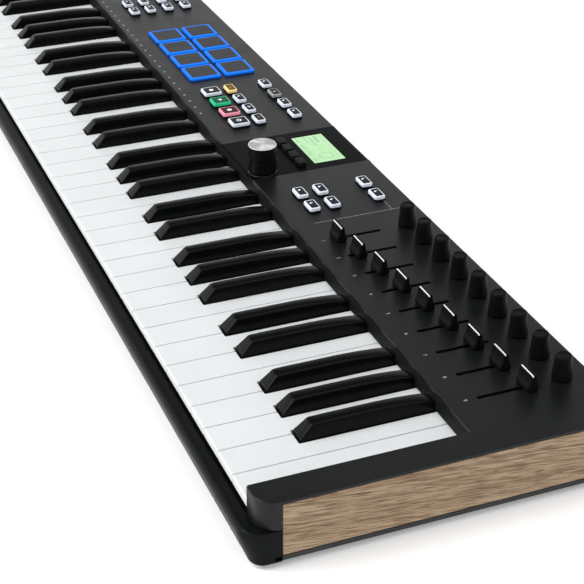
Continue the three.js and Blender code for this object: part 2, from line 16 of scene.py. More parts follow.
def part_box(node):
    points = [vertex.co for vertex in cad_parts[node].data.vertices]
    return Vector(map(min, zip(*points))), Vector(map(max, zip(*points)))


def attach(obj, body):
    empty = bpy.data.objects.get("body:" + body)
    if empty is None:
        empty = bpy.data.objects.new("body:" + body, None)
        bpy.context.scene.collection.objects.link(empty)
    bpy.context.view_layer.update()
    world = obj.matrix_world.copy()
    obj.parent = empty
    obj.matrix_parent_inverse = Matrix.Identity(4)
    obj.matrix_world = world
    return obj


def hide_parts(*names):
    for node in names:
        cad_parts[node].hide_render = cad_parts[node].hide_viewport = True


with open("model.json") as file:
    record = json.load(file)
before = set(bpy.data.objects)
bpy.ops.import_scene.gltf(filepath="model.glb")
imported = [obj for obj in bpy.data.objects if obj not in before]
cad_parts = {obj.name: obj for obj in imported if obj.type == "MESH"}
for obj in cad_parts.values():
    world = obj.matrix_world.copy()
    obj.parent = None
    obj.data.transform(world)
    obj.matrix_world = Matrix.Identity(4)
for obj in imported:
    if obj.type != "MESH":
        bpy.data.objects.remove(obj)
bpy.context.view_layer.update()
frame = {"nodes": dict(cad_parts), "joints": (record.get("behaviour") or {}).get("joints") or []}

# ---- sizes, in millimetres ----

MM = 0.001  # a millimetre in the frame's metres
KEY_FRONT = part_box("key_C6")[0].y


def layout_box(node):
    """Lowest and highest corner of a CAD node, in millimetres of the layout."""
    low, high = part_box(node)
    shift = Vector((0, KEY_FRONT, 0))
    return (low - shift) / MM, (high - shift) / MM


def layout_centre(node):
    low, high = layout_box(node)
    return (low + high) / 2


# Boxes of the CAD nodes that the visual pieces stand for.
TOP_LOW, TOP_HIGH = layout_box("top_case")
BOTTOM_LOW, BOTTOM_HIGH = layout_box("bottom_case")
WOOD_LOW, WOOD_HIGH = layout_box("wood_panel_right")
SHEET_LOW, SHEET_HIGH = layout_box("display_window")
LCD_LOW, LCD_HIGH = layout_box("lcd_module")
PLATE_LOW, PLATE_HIGH = layout_box("connector_plate")
FIRST_KEY_LOW, FIRST_KEY_HIGH = layout_box("key_C6")
BLACK_LOW, BLACK_HIGH = layout_box("key_Cs6")

GAP = 0.3  # between two neighbouring parts
HALF_WIDTH = TOP_HIGH.x
PANEL_TOP = TOP_HIGH.z
CASE_BACK = TOP_HIGH.y
CHEEK_FRONT = TOP_LOW.y
SPLIT = TOP_LOW.z  # where the upper case meets the lower one
RAIL_FRONT = BOTTOM_LOW.y
CASE_BOTTOM = BOTTOM_LOW.z
REAR_SPLIT = BOTTOM_HIGH.z
FALLBOARD = SHEET_LOW.y
FALLBOARD_LEAN = 2.3  # how far its foot stands in front of its top
PANEL_UNDERSIDE = WOOD_HIGH.z + GAP
WALL = 2.0
CORNER_RADIUS = 12.5
CHEEK_INNER = 424.0
SIDE_WALL = WOOD_LOW.x - GAP
WOOD_FRONT = WOOD_LOW.y - GAP
RIM_TOP = WOOD_LOW.z - GAP
RIM_FRONT = -4.6
RAIL_TOP = SPLIT - GAP
UPPER_ROUND = 0.9
SIDE_ROUND = 0.5
SQUARE = 0.05  # the roundness of an edge that meets its neighbour
CHEEK_CORNER = 1.6

WHITE_TOP = FIRST_KEY_HIGH.z
WHITE_PITCH = layout_box("key_C7")[0].x - layout_box("key_B6")[0].x
WHITE_THICKNESS = 5.5
HEAD_LENGTH = 44.9  # of a white key, in front of the black ones
WHITE_END = 139.0
KEY_GAP = 0.5
KEY_SIDE = 0.32  # each white key is this much narrower on either side than its pitch
TAIL_DEPTH = 6.5
BLACK_CREST = BLACK_HIGH.z - WHITE_TOP
OCTAVE = 7 * WHITE_PITCH
OCTAVES = 5
KEYBED_LEFT = FIRST_KEY_LOW.x - KEY_GAP - (OCTAVES - 1) * OCTAVE
BLACK_HALF = (BLACK_HIGH.x - BLACK_LOW.x) / 2
BLACK_FRONT = BLACK_LOW.y
BLACK_TOP_HALF = 3.8

PAD_COLUMNS = [-225 + 31.5 * i for i in range(4)]
PAD_ROWS = [(164.0, 27.8), (194.8, 26.5)]  # centre and depth
PAD_WIDTH = 28.0
PAD_TOP = layout_box("pad_mat")[1].z
BUTTON_WIDTH = 14.2
BUTTON_PITCH = 22.2
SMALL_DEPTH = 8.2
LARGE_DEPTH = 14.6
TRANSPORT_LEFT = -83.8
PART_LEFT = 118.3
PERFORMANCE_LEFT = -318.0
CONTEXT_LEFT = 28.0
CONTEXT_PITCH = 13.2
CONTEXT_SIZE = (10.6, 6.2)
MAT_TOP = 39.4
LIT_HEIGHT = 2.4  # of a button cap; the skirt under it is dark, a painted shade where the cap meets the panel
CLEARANCE = 0.4
PRINT_THICKNESS = 0.06

STRIPS = 9  # each with a fader and a knob
SLOT_FRONT = 150.6
SLOT_BACK = 186.2
SLOT_WIDTH = 2.8
SHAFT_HOLE = 3.6
ENCODER = layout_centre("encoder_knob")
LCD_MARGIN_X = 5.0
LCD_MARGIN_FRONT = 4.0
LCD_MARGIN_BACK = 2.5
WHEEL_OPENING = (17.0, 39.0)
LINE_X = 161.5

# ---- outlines and solids ----


def outline(corners, steps=6):
    """A closed outline. Each corner is (x, y, radius), and its radius turns it into an arc."""
    points = []
    for i, (x, y, radius) in enumerate(corners):
        here = Vector((x, y))
        if not radius:
            points.append((x, y))
            continue
        before = (Vector(corners[i - 1][:2]) - here).normalized()
        after = (Vector(corners[(i + 1) % len(corners)][:2]) - here).normalized()
        half = before.angle(after) / 2
        centre = here + (before + after).normalized() * (radius / math.sin(half))
        start = here + before * (radius / math.tan(half)) - centre
        end = here + after * (radius / math.tan(half)) - centre
        first = math.atan2(start.y, start.x)
        turn = (math.atan2(end.y, end.x) - first + math.pi) % math.tau - math.pi
        for k in range(steps + 1):
            angle = first + turn * k / steps
            points.append((centre.x + radius * math.cos(angle), centre.y + radius * math.sin(angle)))
    return points


def rectangle(x, y, width, depth, radius=0.0, steps=5):
    """A rectangle about its centre, with rounded corners."""
    x0, x1, y0, y1 = x - width / 2, x + width / 2, y - depth / 2, y + depth / 2
    return outline([(x0, y0, radius), (x1, y0, radius), (x1, y1, radius), (x0, y1, radius)], steps)


def footprint(low, high, radius=0.0):
    """The rectangle that a box stands on."""
    return rectangle((low.x + high.x) / 2, (low.y + high.y) / 2, high.x - low.x, high.y - low.y, radius)


def circle(x, y, radius, steps=24):
    return [(x + radius * math.cos(math.tau * i / steps), y + radius * math.sin(math.tau * i / steps))
            for i in range(steps)]


def divided(loop, longest=14.0):
    """The outline with its long edges cut into shorter ones."""
    points = []
    for a, b in zip(loop, loop[1:] + loop[:1]):
        parts = max(1, math.ceil(math.dist(a, b) / longest))
        points += [(a[0] + (b[0] - a[0]) * k / parts, a[1] + (b[1] - a[1]) * k / parts)
                   for k in range(parts)]
    return points


def area(loop):
    return sum(a[0] * b[1] - b[0] * a[1] for a, b in zip(loop, loop[1:] + loop[:1])) / 2


def moved_left(loop, distances):
    """The loop with each edge moved to the left of its direction of travel by its own distance."""
    points = []
    for i, (x, y) in enumerate(loop):
        ahead = loop[(i + 1) % len(loop)]
        before = Vector((x - loop[i - 1][0], y - loop[i - 1][1])).normalized()
        after = Vector((ahead[0] - x, ahead[1] - y)).normalized()
        first, second = distances[i - 1], distances[i]
        turn = before.cross(after)
        if abs(turn) > 0.05:
            shift = (after * first - before * second) / turn
        else:
            both = (before + after).normalized()
            shift = Vector((-both.y, both.x)) * (first + second) / 2
        points.append((x + shift.x, y + shift.y))
    return points


def plate(loop, z0, z1, top=0.4, bottom=0.0, holes=(), hole_top=0.25, steps=4):
    """A flat solid with rounded-over edges and holes. `top` is a radius, or gives one for each
    edge from the edge's middle."""
    verts, faces, floors, roofs = [], [], [], []
    rims = [(loop if area(loop) > 0 else loop[::-1], top, bottom)]
    rims += [(hole[::-1] if area(hole) > 0 else hole, hole_top, 0.0) for hole in holes]
    for rim, over, under in rims:
        ends = zip(rim, rim[1:] + rim[:1])
        reach = [over((a[0] + b[0]) / 2, (a[1] + b[1]) / 2) if callable(over) else over for a, b in ends]
        quarter = [math.pi / 2 * k / steps for k in range(steps + 1)]
        levels = [([under * (1 - math.sin(a))] * len(rim), [z0 + under * (1 - math.cos(a))] * len(rim))
                  for a in (quarter if under else quarter[-1:])]
        if not under:
            levels = [([0.0] * len(rim), [z0] * len(rim))]
        for a in quarter if max(reach) else quarter[:1]:
            levels.append(([r * (1 - math.cos(a)) for r in reach],
                           [z1 - r * (1 - math.sin(a)) for r in reach]))
        rings = []
        for insets, heights in levels:
            rings.append(list(range(len(verts), len(verts) + len(rim))))
            verts += [(x, y, z) for (x, y), z in zip(moved_left(rim, insets), heights)]
        for low, high in zip(rings, rings[1:]):
            faces += [(low[i - 1], low[i], high[i], high[i - 1]) for i in range(len(rim))]
        floors.append(rings[0])
        roofs.append(rings[-1])
    for edges in (floors, roofs):
        flat = [[Vector((verts[i][0], verts[i][1], 0)) for i in ring] for ring in edges]
        numbers = [i for ring in edges for i in ring]
        faces += [tuple(numbers[i] for i in triangle) for triangle in tessellate_polygon(flat)]
    return verts, faces


def loft(rings, closed=False):
    """A skin over rings with the same number of points, capped at both ends unless it closes."""
    count = len(rings[0])
    verts = [point for ring in rings for point in ring]
    faces = []
    for r in range(len(rings) if closed else len(rings) - 1):
        low, high = r * count, (r + 1) % len(rings) * count
        faces += [(low + i, low + (i + 1) % count, high + (i + 1) % count, high + i)
                  for i in range(count)]
    if not closed:
        faces += [tuple(range(count)), tuple(range(len(verts) - count, len(verts)))]
    return verts, faces


def lathe(profile, x=0.0, y=0.0, z=0.0, segments=40, ripple=None):
    """A turned solid. The profile is (radius, height) from the bottom of the axis to its top."""
    verts, faces, rings = [], [], []
    for radius, height in profile:
        if radius < 1e-6:
            rings.append([len(verts)] * segments)
            verts.append((x, y, z + height))
            continue
        rings.append(list(range(len(verts), len(verts) + segments)))
        for i in range(segments):
            angle = math.tau * i / segments
            r = radius + (ripple(angle, height) if ripple else 0)
            verts.append((x + r * math.cos(angle), y + r * math.sin(angle), z + height))
    for low, high in zip(rings, rings[1:]):
        for i in range(segments):
            j = (i + 1) % segments
            corners = dict.fromkeys((low[i], low[j], high[j], high[i]))
            if len(corners) > 2:
                faces.append(tuple(corners))
    return verts, faces


def smooth(points, steps=4):
    """A Catmull-Rom curve through points of any dimension, ends included."""
    result = []
    for i in range(len(points) - 1):
        a, b, c, d = (points[max(0, min(len(points) - 1, i + k))] for k in (-1, 0, 1, 2))
        for s in range(steps):
            t = s / steps
            result.append(tuple(
                0.5 * (2 * q + (r - p) * t + (2 * p - 5 * q + 4 * r - w) * t * t
                       + (3 * q - p - 3 * r + w) * t ** 3) for p, q, r, w in zip(a, b, c, d)))
    return result + [tuple(points[-1])]


def joined(*shapes):
    verts, faces = [], []
    for shape_verts, shape_faces in shapes:
        faces += [tuple(i + len(verts) for i in face) for face in shape_faces]
        verts += shape_verts
    return verts, faces


def moved(shape, matrix):
    return [tuple(matrix @ Vector(v)) for v in shape[0]], shape[1]


def stood_up(shape, y):
    """Turns a plate drawn in X and Z, whose thickness runs back from y, upright."""
    return [(u, y + w, v) for u, v, w in shape[0]], shape[1]


def along_x(profile, reach):
    """A profile of (y, z) points swept along X, as far to either side."""
    return loft([[(x, y, z) for y, z in profile] for x in (-reach, reach)])


# ---- materials ----


def new_material(name, sockets):
    """A material and its shader, with numbers that are the same all over set on the shader."""
    material = bpy.data.materials.new(name)
    material.use_nodes = True
    shader = material.node_tree.nodes["Principled BSDF"]
    for socket, value in sockets.items():
        shader.inputs[socket].default_value = value
    return material, material.node_tree, shader


def add_node(tree, kind, inputs=None, **settings):
    node = tree.nodes.new(kind)
    for name, value in settings.items():
        setattr(node, name, value)
    for name, value in (inputs or {}).items():
        node.inputs[name].default_value = value
    return node


def noise(tree, size, detail=3.0, stretch=(1, 1, 1), roughness=0.5, tilt=0.0):
    """A noise pattern whose features are `size` millimetres across, longer where stretch is larger.

    The stretched grain may tilt about X, by an angle in degrees.
    """
    coordinates = add_node(tree, "ShaderNodeTexCoord")
    turn = add_node(tree, "ShaderNodeMapping", {"Rotation": (math.radians(tilt), 0, 0)})
    mapping = add_node(tree, "ShaderNodeMapping", {"Scale": tuple(1 / s for s in stretch)})
    pattern = add_node(tree, "ShaderNodeTexNoise",
                       {"Scale": 1 / (size * MM), "Detail": detail, "Roughness": roughness})
    tree.links.new(coordinates.outputs["Object"], turn.inputs["Vector"])
    tree.links.new(turn.outputs["Vector"], mapping.inputs["Vector"])
    tree.links.new(mapping.outputs["Vector"], pattern.inputs["Vector"])
    return pattern.outputs["Fac"]


def ramp(tree, factor, stops):
    """Colours along a pattern: stops are (position, (r, g, b))."""
    node = add_node(tree, "ShaderNodeValToRGB")
    elements = node.color_ramp.elements
    while len(elements) < len(stops):
        elements.new(0.5)
    for element, (position, colour) in zip(elements, stops):
        element.position = position
        element.color = (*colour, 1)
    tree.links.new(factor, node.inputs["Fac"])
    return node.outputs["Color"]


def spread(tree, factor, low, high):
    """A pattern's middle range turned into numbers from low to high."""
    node = add_node(tree, "ShaderNodeMapRange",
                    {"From Min": 0.3, "From Max": 0.7, "To Min": low, "To Max": high})
    tree.links.new(factor, node.inputs["Value"])
    return node.outputs["Result"]


def mottle(tree, socket, size, detail, dark, light):
    """Colours a socket in soft patches between two colours."""
    tree.links.new(ramp(tree, noise(tree, size, detail), [(0.3, dark), (0.7, light)]), socket)


def relief(tree, shader, height, depth):
    """Raises the surface by a pattern, `depth` millimetres from its lows to its highs."""
    node = add_node(tree, "ShaderNodeBump", {"Strength": 1.0, "Distance": depth * MM})
    tree.links.new(height, node.inputs["Height"])
    tree.links.new(node.outputs["Normal"], shader.inputs["Normal"])


def moulded(name, dark, light, rough, grain, depth, patch=30.0, shine=0.5):
    """Moulded plastic or rubber: colour and gloss drift over patches, under a fine texture."""
    material, tree, shader = new_material(name, {"Specular IOR Level": shine})
    mottle(tree, shader.inputs["Base Color"], patch, 2.0, dark, light)
    tree.links.new(spread(tree, noise(tree, patch / 3, 3.0), *rough), shader.inputs["Roughness"])
    if depth:
        relief(tree, shader, noise(tree, grain, 2.0), depth)
    return material


def height_colours(tree, z0, z1, low, high):
    """A colour that changes with height, between two heights in millimetres."""
    coordinates = add_node(tree, "ShaderNodeTexCoord")
    parts = add_node(tree, "ShaderNodeSeparateXYZ")
    node = add_node(tree, "ShaderNodeMapRange", {"From Min": z0 * MM, "From Max": z1 * MM})
    tree.links.new(coordinates.outputs["Object"], parts.inputs["Vector"])
    tree.links.new(parts.outputs["Z"], node.inputs["Value"])
    return ramp(tree, node.outputs["Result"], [(0.0, low), (1.0, high)])


def glowing(name, base, dark, light, strength, rough=0.4, glint=0.4):
    """Frosted plastic lit from inside, a little uneven."""
    material, tree, shader = new_material(name, {
        "Emission Strength": strength, "Roughness": rough, "Specular IOR Level": glint})
    mottle(tree, shader.inputs["Emission Color"], 6, 2.0, dark, light)
    mottle(tree, shader.inputs["Base Color"], 2, 2.0, base, tuple(c * 1.06 for c in base))
    return material


def wood_material():
    """Pale open-grained wood, its grain along Y."""
    material, tree, shader = new_material("wood", {"Specular IOR Level": 0.35})
    broad = noise(tree, 7.0, 3.0, (1, 26, 1), 0.5, 3)
    fine = noise(tree, 1.15, 3.0, (1, 24, 1), 0.6, 7)
    pores = noise(tree, 0.65, 2.0, (1, 22, 1), 0.5, 7)
    tone = ramp(tree, broad, [(0.3, (0.32, 0.225, 0.137)), (0.45, (0.355, 0.255, 0.16)),
                              (0.58, (0.385, 0.28, 0.18)), (0.75, (0.415, 0.305, 0.2))])
    streak = ramp(tree, fine, [(0.4, (0.52, 0.45, 0.38)), (0.48, (0.86, 0.83, 0.79)), (0.56, (1, 1, 1))])
    pore = ramp(tree, pores, [(0.4, (0.42, 0.34, 0.27)), (0.47, (1, 1, 1))])
    colour = tone
    for share, darker in ((0.85, streak), (0.8, pore)):
        blend = add_node(tree, "ShaderNodeMix", {"Factor": share}, data_type="RGBA", blend_type="MULTIPLY")
        tree.links.new(colour, blend.inputs["A"])
        tree.links.new(darker, blend.inputs["B"])
        colour = blend.outputs["Result"]
    tree.links.new(colour, shader.inputs["Base Color"])
    tree.links.new(spread(tree, fine, 0.62, 0.48), shader.inputs["Roughness"])
    relief(tree, shader, fine, 0.12)
    return material


def spun_metal():
    """The encoder's turned aluminium cap, with fine rings about its axis."""
    material, tree, shader = new_material("spun_metal", {
        "Metallic": 1.0, "Anisotropic": 0.85})
    coordinates = add_node(tree, "ShaderNodeTexCoord")
    rings = add_node(tree, "ShaderNodeTexWave", {"Scale": 900.0, "Distortion": 1.5},
                     wave_type="RINGS", rings_direction="Z")
    around = add_node(tree, "ShaderNodeTangent", direction_type="RADIAL", axis="Z")
    tree.links.new(coordinates.outputs["Object"], rings.inputs["Vector"])
    mottle(tree, shader.inputs["Base Color"], 4, 2.0, (0.86, 0.87, 0.88), (0.93, 0.94, 0.95))
    tree.links.new(spread(tree, rings.outputs["Fac"], 0.34, 0.44), shader.inputs["Roughness"])
    tree.links.new(around.outputs["Tangent"], shader.inputs["Tangent"])
    return material


def pad_glow():
    """The pads' blue light band: their own glow, bright along the top edge, fading to painted shade towards
    the panel.
    """
    material, tree, shader = new_material("pad_rim_blue", {
        "Emission Strength": 1.0, "Roughness": 0.5, "Specular IOR Level": 0.08})
    # Emission colour by height: bright blue at the top edge, dark blue at the panel as painted shade.
    glow_over_painted_shade = height_colours(tree, PANEL_TOP - 0.2, PAD_TOP - 0.3, (0.0, 0.02, 0.14), (0.006, 0.2, 0.95))
    tree.links.new(glow_over_painted_shade, shader.inputs["Emission Color"])
    mottle(tree, shader.inputs["Base Color"], 5, 2.0, (0.004, 0.03, 0.14), (0.006, 0.04, 0.18))
    return material


def plated(name, colour, rough):
    """Plated metal with faint smudges in its gloss."""
    material, tree, shader = new_material(name, {"Metallic": 1.0})
    mottle(tree, shader.inputs["Base Color"], 5, 3.0, tuple(c * 0.9 for c in colour), colour)
    tree.links.new(spread(tree, noise(tree, 2, 3.0), *rough), shader.inputs["Roughness"])
    return material


CASE = moulded(
    "case_plastic", (0.004, 0.0048, 0.0052), (0.0054, 0.0062, 0.0067), (0.34, 0.4),
    0.35, 0.008, patch=60.0, shine=0.25)
RAIL_FINISH = moulded(
    "rail_plastic", (0.0036, 0.0044, 0.0048), (0.005, 0.0058, 0.0063), (0.34, 0.4),
    0.35, 0.008, patch=60.0, shine=0.07)
FALLBOARD_FINISH = moulded(
    "fallboard_plastic", (0.005, 0.0056, 0.006), (0.007, 0.0075, 0.008),
    (0.36, 0.44), 0.5, 0.006, shine=0.12)
UNDERSIDE = moulded(
    "underside_plastic", (0.015, 0.0155, 0.016), (0.02, 0.021, 0.022), (0.6, 0.7),
    0.9, 0.06)
GLOSS = moulded(
    "gloss_black", (0.0018, 0.002, 0.0024), (0.0026, 0.003, 0.0034), (0.24, 0.3),
    0.5, 0.001, shine=0.02)
SOCKET_BLACK = moulded(
    "socket_plastic", (0.01, 0.01, 0.011), (0.014, 0.014, 0.015), (0.35, 0.45), 0.4,
    0.01, patch=8.0)
WHITE_KEY = moulded(
    "white_key", (0.75, 0.77, 0.78), (0.785, 0.805, 0.815), (0.3, 0.36), 0.8, 0.0,
    patch=40.0, shine=0.5)
BLACK_KEY = moulded(
    "black_key", (0.0022, 0.0027, 0.0032), (0.0028, 0.0034, 0.004), (0.18, 0.24), 0.3,
    0.004, patch=25.0, shine=0.11)
KNOB = moulded(
    "knob_plastic", (0.0026, 0.003, 0.0032), (0.0036, 0.004, 0.0043), (0.4, 0.5),
    0.3, 0.012, patch=6.0, shine=0.08)
ENCODER_BLACK = moulded(
    "encoder_plastic", (0.003, 0.0034, 0.0038), (0.0042, 0.0046, 0.005),
    (0.34, 0.42), 0.3, 0.01, patch=6.0, shine=0.08)
WHEEL_RUBBER = moulded(
    "wheel_rubber", (0.012, 0.012, 0.013), (0.02, 0.02, 0.021), (0.6, 0.72), 0.5,
    0.05, patch=9.0)
PAD_RUBBER = moulded(
    "pad_rubber", (0.02, 0.022, 0.026), (0.028, 0.03, 0.034), (0.58, 0.68), 0.4, 0.04,
    patch=12.0)
FOOT_RUBBER = moulded(
    "foot_rubber", (0.012, 0.012, 0.012), (0.02, 0.02, 0.02), (0.75, 0.85), 0.6,
    0.08, patch=6.0)
DARK_BUTTON = moulded(
    "button_dark", (0.006, 0.0062, 0.0065), (0.009, 0.0092, 0.0095), (0.4, 0.48),
    0.3, 0.01, patch=6.0, shine=0.07)
# Painted shade: the dark plastic of the mat's web and of each lit cap's lower part, standing for the shade
# where the cap meets the panel.
WEB_AND_SHADE_SKIRT = moulded(
    "button_web_and_shade_skirt", (0.004, 0.0045, 0.006), (0.006, 0.0065, 0.008), (0.5, 0.6), 0.3,
    0.01, patch=6.0, shine=0.2)
INSET = moulded(
    "button_inset", (0.003, 0.0034, 0.006), (0.0045, 0.005, 0.008),
    (0.3, 0.4), 0.3, 0.003, patch=5.0, shine=0.1)
CHASSIS = moulded(
    "chassis_plastic", (0.05, 0.05, 0.055), (0.07, 0.07, 0.075), (0.55, 0.65),
    0.8, 0.05)
BOARD = moulded(
    "circuit_board", (0.008, 0.05, 0.022), (0.012, 0.07, 0.03), (0.35, 0.5), 1.2,
    0.03, patch=5.0)
PRINT = moulded(
    "print_white", (0.4, 0.41, 0.42), (0.48, 0.49, 0.5), (0.5, 0.6), 0.2, 0.004,
    patch=2.0)
PRINT_GREY = moulded(
    "print_grey", (0.2, 0.203, 0.206), (0.26, 0.263, 0.266), (0.5, 0.6), 0.2, 0.004,
    patch=4.0)
RING = moulded(
    "ring_grey", (0.02, 0.021, 0.022), (0.03, 0.031, 0.032), (0.3, 0.4), 0.2, 0.004,
    patch=4.0)
FADER_LINE = moulded(
    "fader_line", (0.8, 0.81, 0.82), (0.87, 0.88, 0.88), (0.4, 0.5), 0.2, 0.004,
    patch=2.0)
LCD_INK = glowing("lcd_ink", (0.04, 0.08, 0.05), (0.27, 0.52, 0.28), (0.33, 0.58, 0.34), 1.0)
WOOD = wood_material()
SPUN = spun_metal()
PAD_GLOW = pad_glow()
STEEL = plated("plated_steel", (0.62, 0.63, 0.64), (0.22, 0.38))
GOLD_PIN = plated("gold_pin", (0.83, 0.62, 0.28), (0.2, 0.34))
LCD_GREEN = glowing(
    "lcd_green", (0.05, 0.09, 0.05), (0.40, 0.68, 0.34), (0.50, 0.76, 0.45), 1.0, 0.3)
CAP_WHITE = glowing(
    "cap_white", (0.7, 0.74, 0.84), (0.7, 0.8, 1.0), (0.8, 0.88, 1.0), 0.12)
CAP_GREEN = glowing(
    "cap_green", (0.02, 0.46, 0.2), (0.0, 0.5, 0.2), (0.02, 0.62, 0.28), 0.3)
CAP_PINK = glowing(
    "cap_pink", (0.72, 0.26, 0.34), (0.8, 0.24, 0.34), (0.95, 0.32, 0.42),
    0.3)
CAP_YELLOW = glowing(
    "cap_yellow", (0.8, 0.6, 0.26), (0.85, 0.56, 0.16), (1.0, 0.72, 0.28),
    0.25)
INSET_GREEN = glowing(
    "inset_green", (0.0, 0.045, 0.022), (0.0, 0.1, 0.05), (0.0, 0.14, 0.07),
    0.3, glint=0.1)
INSET_PINK = glowing(
    "inset_pink", (0.02, 0.003, 0.007), (0.1, 0.008, 0.02),
    (0.14, 0.012, 0.03), 0.2, glint=0.1)
INSET_AMBER = glowing(
    "inset_amber", (0.08, 0.035, 0.006), (0.16, 0.08, 0.01),
    (0.2, 0.1, 0.015), 0.3, glint=0.1)
CAP_DIM = moulded(
    "cap_dim", (0.30, 0.33, 0.31), (0.36, 0.39, 0.37), (0.4, 0.5), 0.3, 0.004,
    patch=4.0)
ICON_WHITE = glowing(
    "icon_white", (0.75, 0.76, 0.8), (0.85, 0.87, 1.0), (1.0, 1.0, 1.0), 0.5)
ICON_AMBER = glowing(
    "icon_amber", (0.5, 0.3, 0.08), (0.6, 0.34, 0.06), (0.8, 0.5, 0.12), 0.4)

# ---- pieces ----


def finish_mesh(mesh, sharp_degrees):
    body = bmesh.new()
    body.from_mesh(mesh)
    bmesh.ops.remove_doubles(body, verts=body.verts, dist=1e-7)
    bmesh.ops.recalc_face_normals(body, faces=body.faces)
    body.to_mesh(mesh)
    body.free()
    mesh.polygons.foreach_set("use_smooth", [True] * len(mesh.polygons))
    mesh.set_sharp_from_angle(angle=math.radians(sharp_degrees))


def make_piece(name, shape, material, body="case", stands_for=None, sharp_degrees=38, origin=(0, 0, 0)):
    """A piece from a shape in layout millimetres about its origin. It rides a body, and may stand for a
    CAD node."""
    verts, faces = shape
    mesh = bpy.data.meshes.new(name)
    mesh.from_pydata([(x * MM, y * MM, z * MM) for x, y, z in verts], [], faces)
    finish_mesh(mesh, sharp_degrees)
    mesh.materials.append(material)
    piece = bpy.data.objects.new(name, mesh)
    piece.location = (origin[0] * MM, origin[1] * MM + KEY_FRONT, origin[2] * MM)
    bpy.context.scene.collection.objects.link(piece)
    shading = piece.modifiers.new("even_shading", "WEIGHTED_NORMAL")
    shading.keep_sharp = True
    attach(piece, body)
    if stands_for:
        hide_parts(stands_for)


def strip_x(index):
    return layout_centre(f"fader_{index + 1}").x


def row(left, y, count, depth, pitch=BUTTON_PITCH, width=BUTTON_WIDTH):
    return [(left + i * pitch, y, width, depth) for i in range(count)]


TRANSPORT_FRONT = row(TRANSPORT_LEFT, 157, 4, LARGE_DEPTH)
TRANSPORT_BACK = row(TRANSPORT_LEFT, 173.7, 4, SMALL_DEPTH)
COMMANDS = row(TRANSPORT_LEFT, 204.4, 4, SMALL_DEPTH)
PARTS = [place for y in (154.4, 170, 204.4) for place in row(PART_LEFT, y, 2, SMALL_DEPTH)]
PERFORMANCE = [place for y in (154.4, 170, 187.2, 204.4)
               for place in row(PERFORMANCE_LEFT, y, 2, SMALL_DEPTH)]
CONTEXT = row(CONTEXT_LEFT, 174.9, 4, CONTEXT_SIZE[1], CONTEXT_PITCH, CONTEXT_SIZE[0])
PADS = [(x, y, PAD_WIDTH, depth) for y, depth in PAD_ROWS for x in PAD_COLUMNS]


def cap_hole(place, radius=1.8):
    x, y, width, depth = place
    return rectangle(x, y, width + 2 * CLEARANCE, depth + 2 * CLEARANCE, radius)


def slot_loop(x):
    return rectangle(x, (SLOT_FRONT + SLOT_BACK) / 2, SLOT_WIDTH, SLOT_BACK - SLOT_FRONT,
                     SLOT_WIDTH / 2 - 0.01)


def panel_half(side):
    """The control panel and cheek on one side of the display, in one moulding."""
    edge = SHEET_LOW.x - GAP if side < 0 else SHEET_HIGH.x + GAP
    loop = divided(outline([
        (side * CHEEK_INNER, CHEEK_FRONT, CHEEK_CORNER), (side * HALF_WIDTH, CHEEK_FRONT, CORNER_RADIUS),
        (side * HALF_WIDTH, CASE_BACK, 2.5), (edge, CASE_BACK, 0), (edge, FALLBOARD, 0),
        (side * CHEEK_INNER, FALLBOARD, 2.0)], 10))
    if side < 0:
        wheels = [rectangle(layout_centre(node).x, layout_centre(node).y, *WHEEL_OPENING, 2.0)
                  for node in ("pitch_wheel", "mod_wheel")]
        places = TRANSPORT_FRONT + TRANSPORT_BACK + COMMANDS + PERFORMANCE
        holes = wheels + [cap_hole(p) for p in places] + [cap_hole(p, 2.6) for p in PADS]
    else:
        holes = [cap_hole(p) for p in PARTS]
        for i in range(STRIPS):
            knob = layout_centre(f"knob_{i + 1}")
            holes += [slot_loop(strip_x(i)), circle(knob.x, knob.y, SHAFT_HOLE)]

    def rounding(x, _):
        if abs(x - edge) < 0.1:
            return SQUARE
        return SIDE_ROUND if abs(x) > HALF_WIDTH - 0.1 else UPPER_ROUND

    return plate(loop, PANEL_UNDERSIDE, PANEL_TOP, top=rounding, holes=holes, hole_top=0.35)


def cheek(side):
    """The block beside the keys, below the panel, with its thin wall behind the wooden board."""
    corners = [(CHEEK_INNER, CHEEK_FRONT, CHEEK_CORNER), (HALF_WIDTH, CHEEK_FRONT, CORNER_RADIUS),
               (HALF_WIDTH, WOOD_FRONT, 0), (SIDE_WALL, WOOD_FRONT, 0), (SIDE_WALL, CASE_BACK, 0),
               (SIDE_WALL - WALL, CASE_BACK, 0), (SIDE_WALL - WALL, FALLBOARD + WALL, 0),
               (CHEEK_INNER, FALLBOARD + WALL, 0)]
    loop = outline([(side * x, y, r) for x, y, r in corners], 10)
    return plate(loop, SPLIT, PANEL_UNDERSIDE, top=0.0, bottom=0.25)


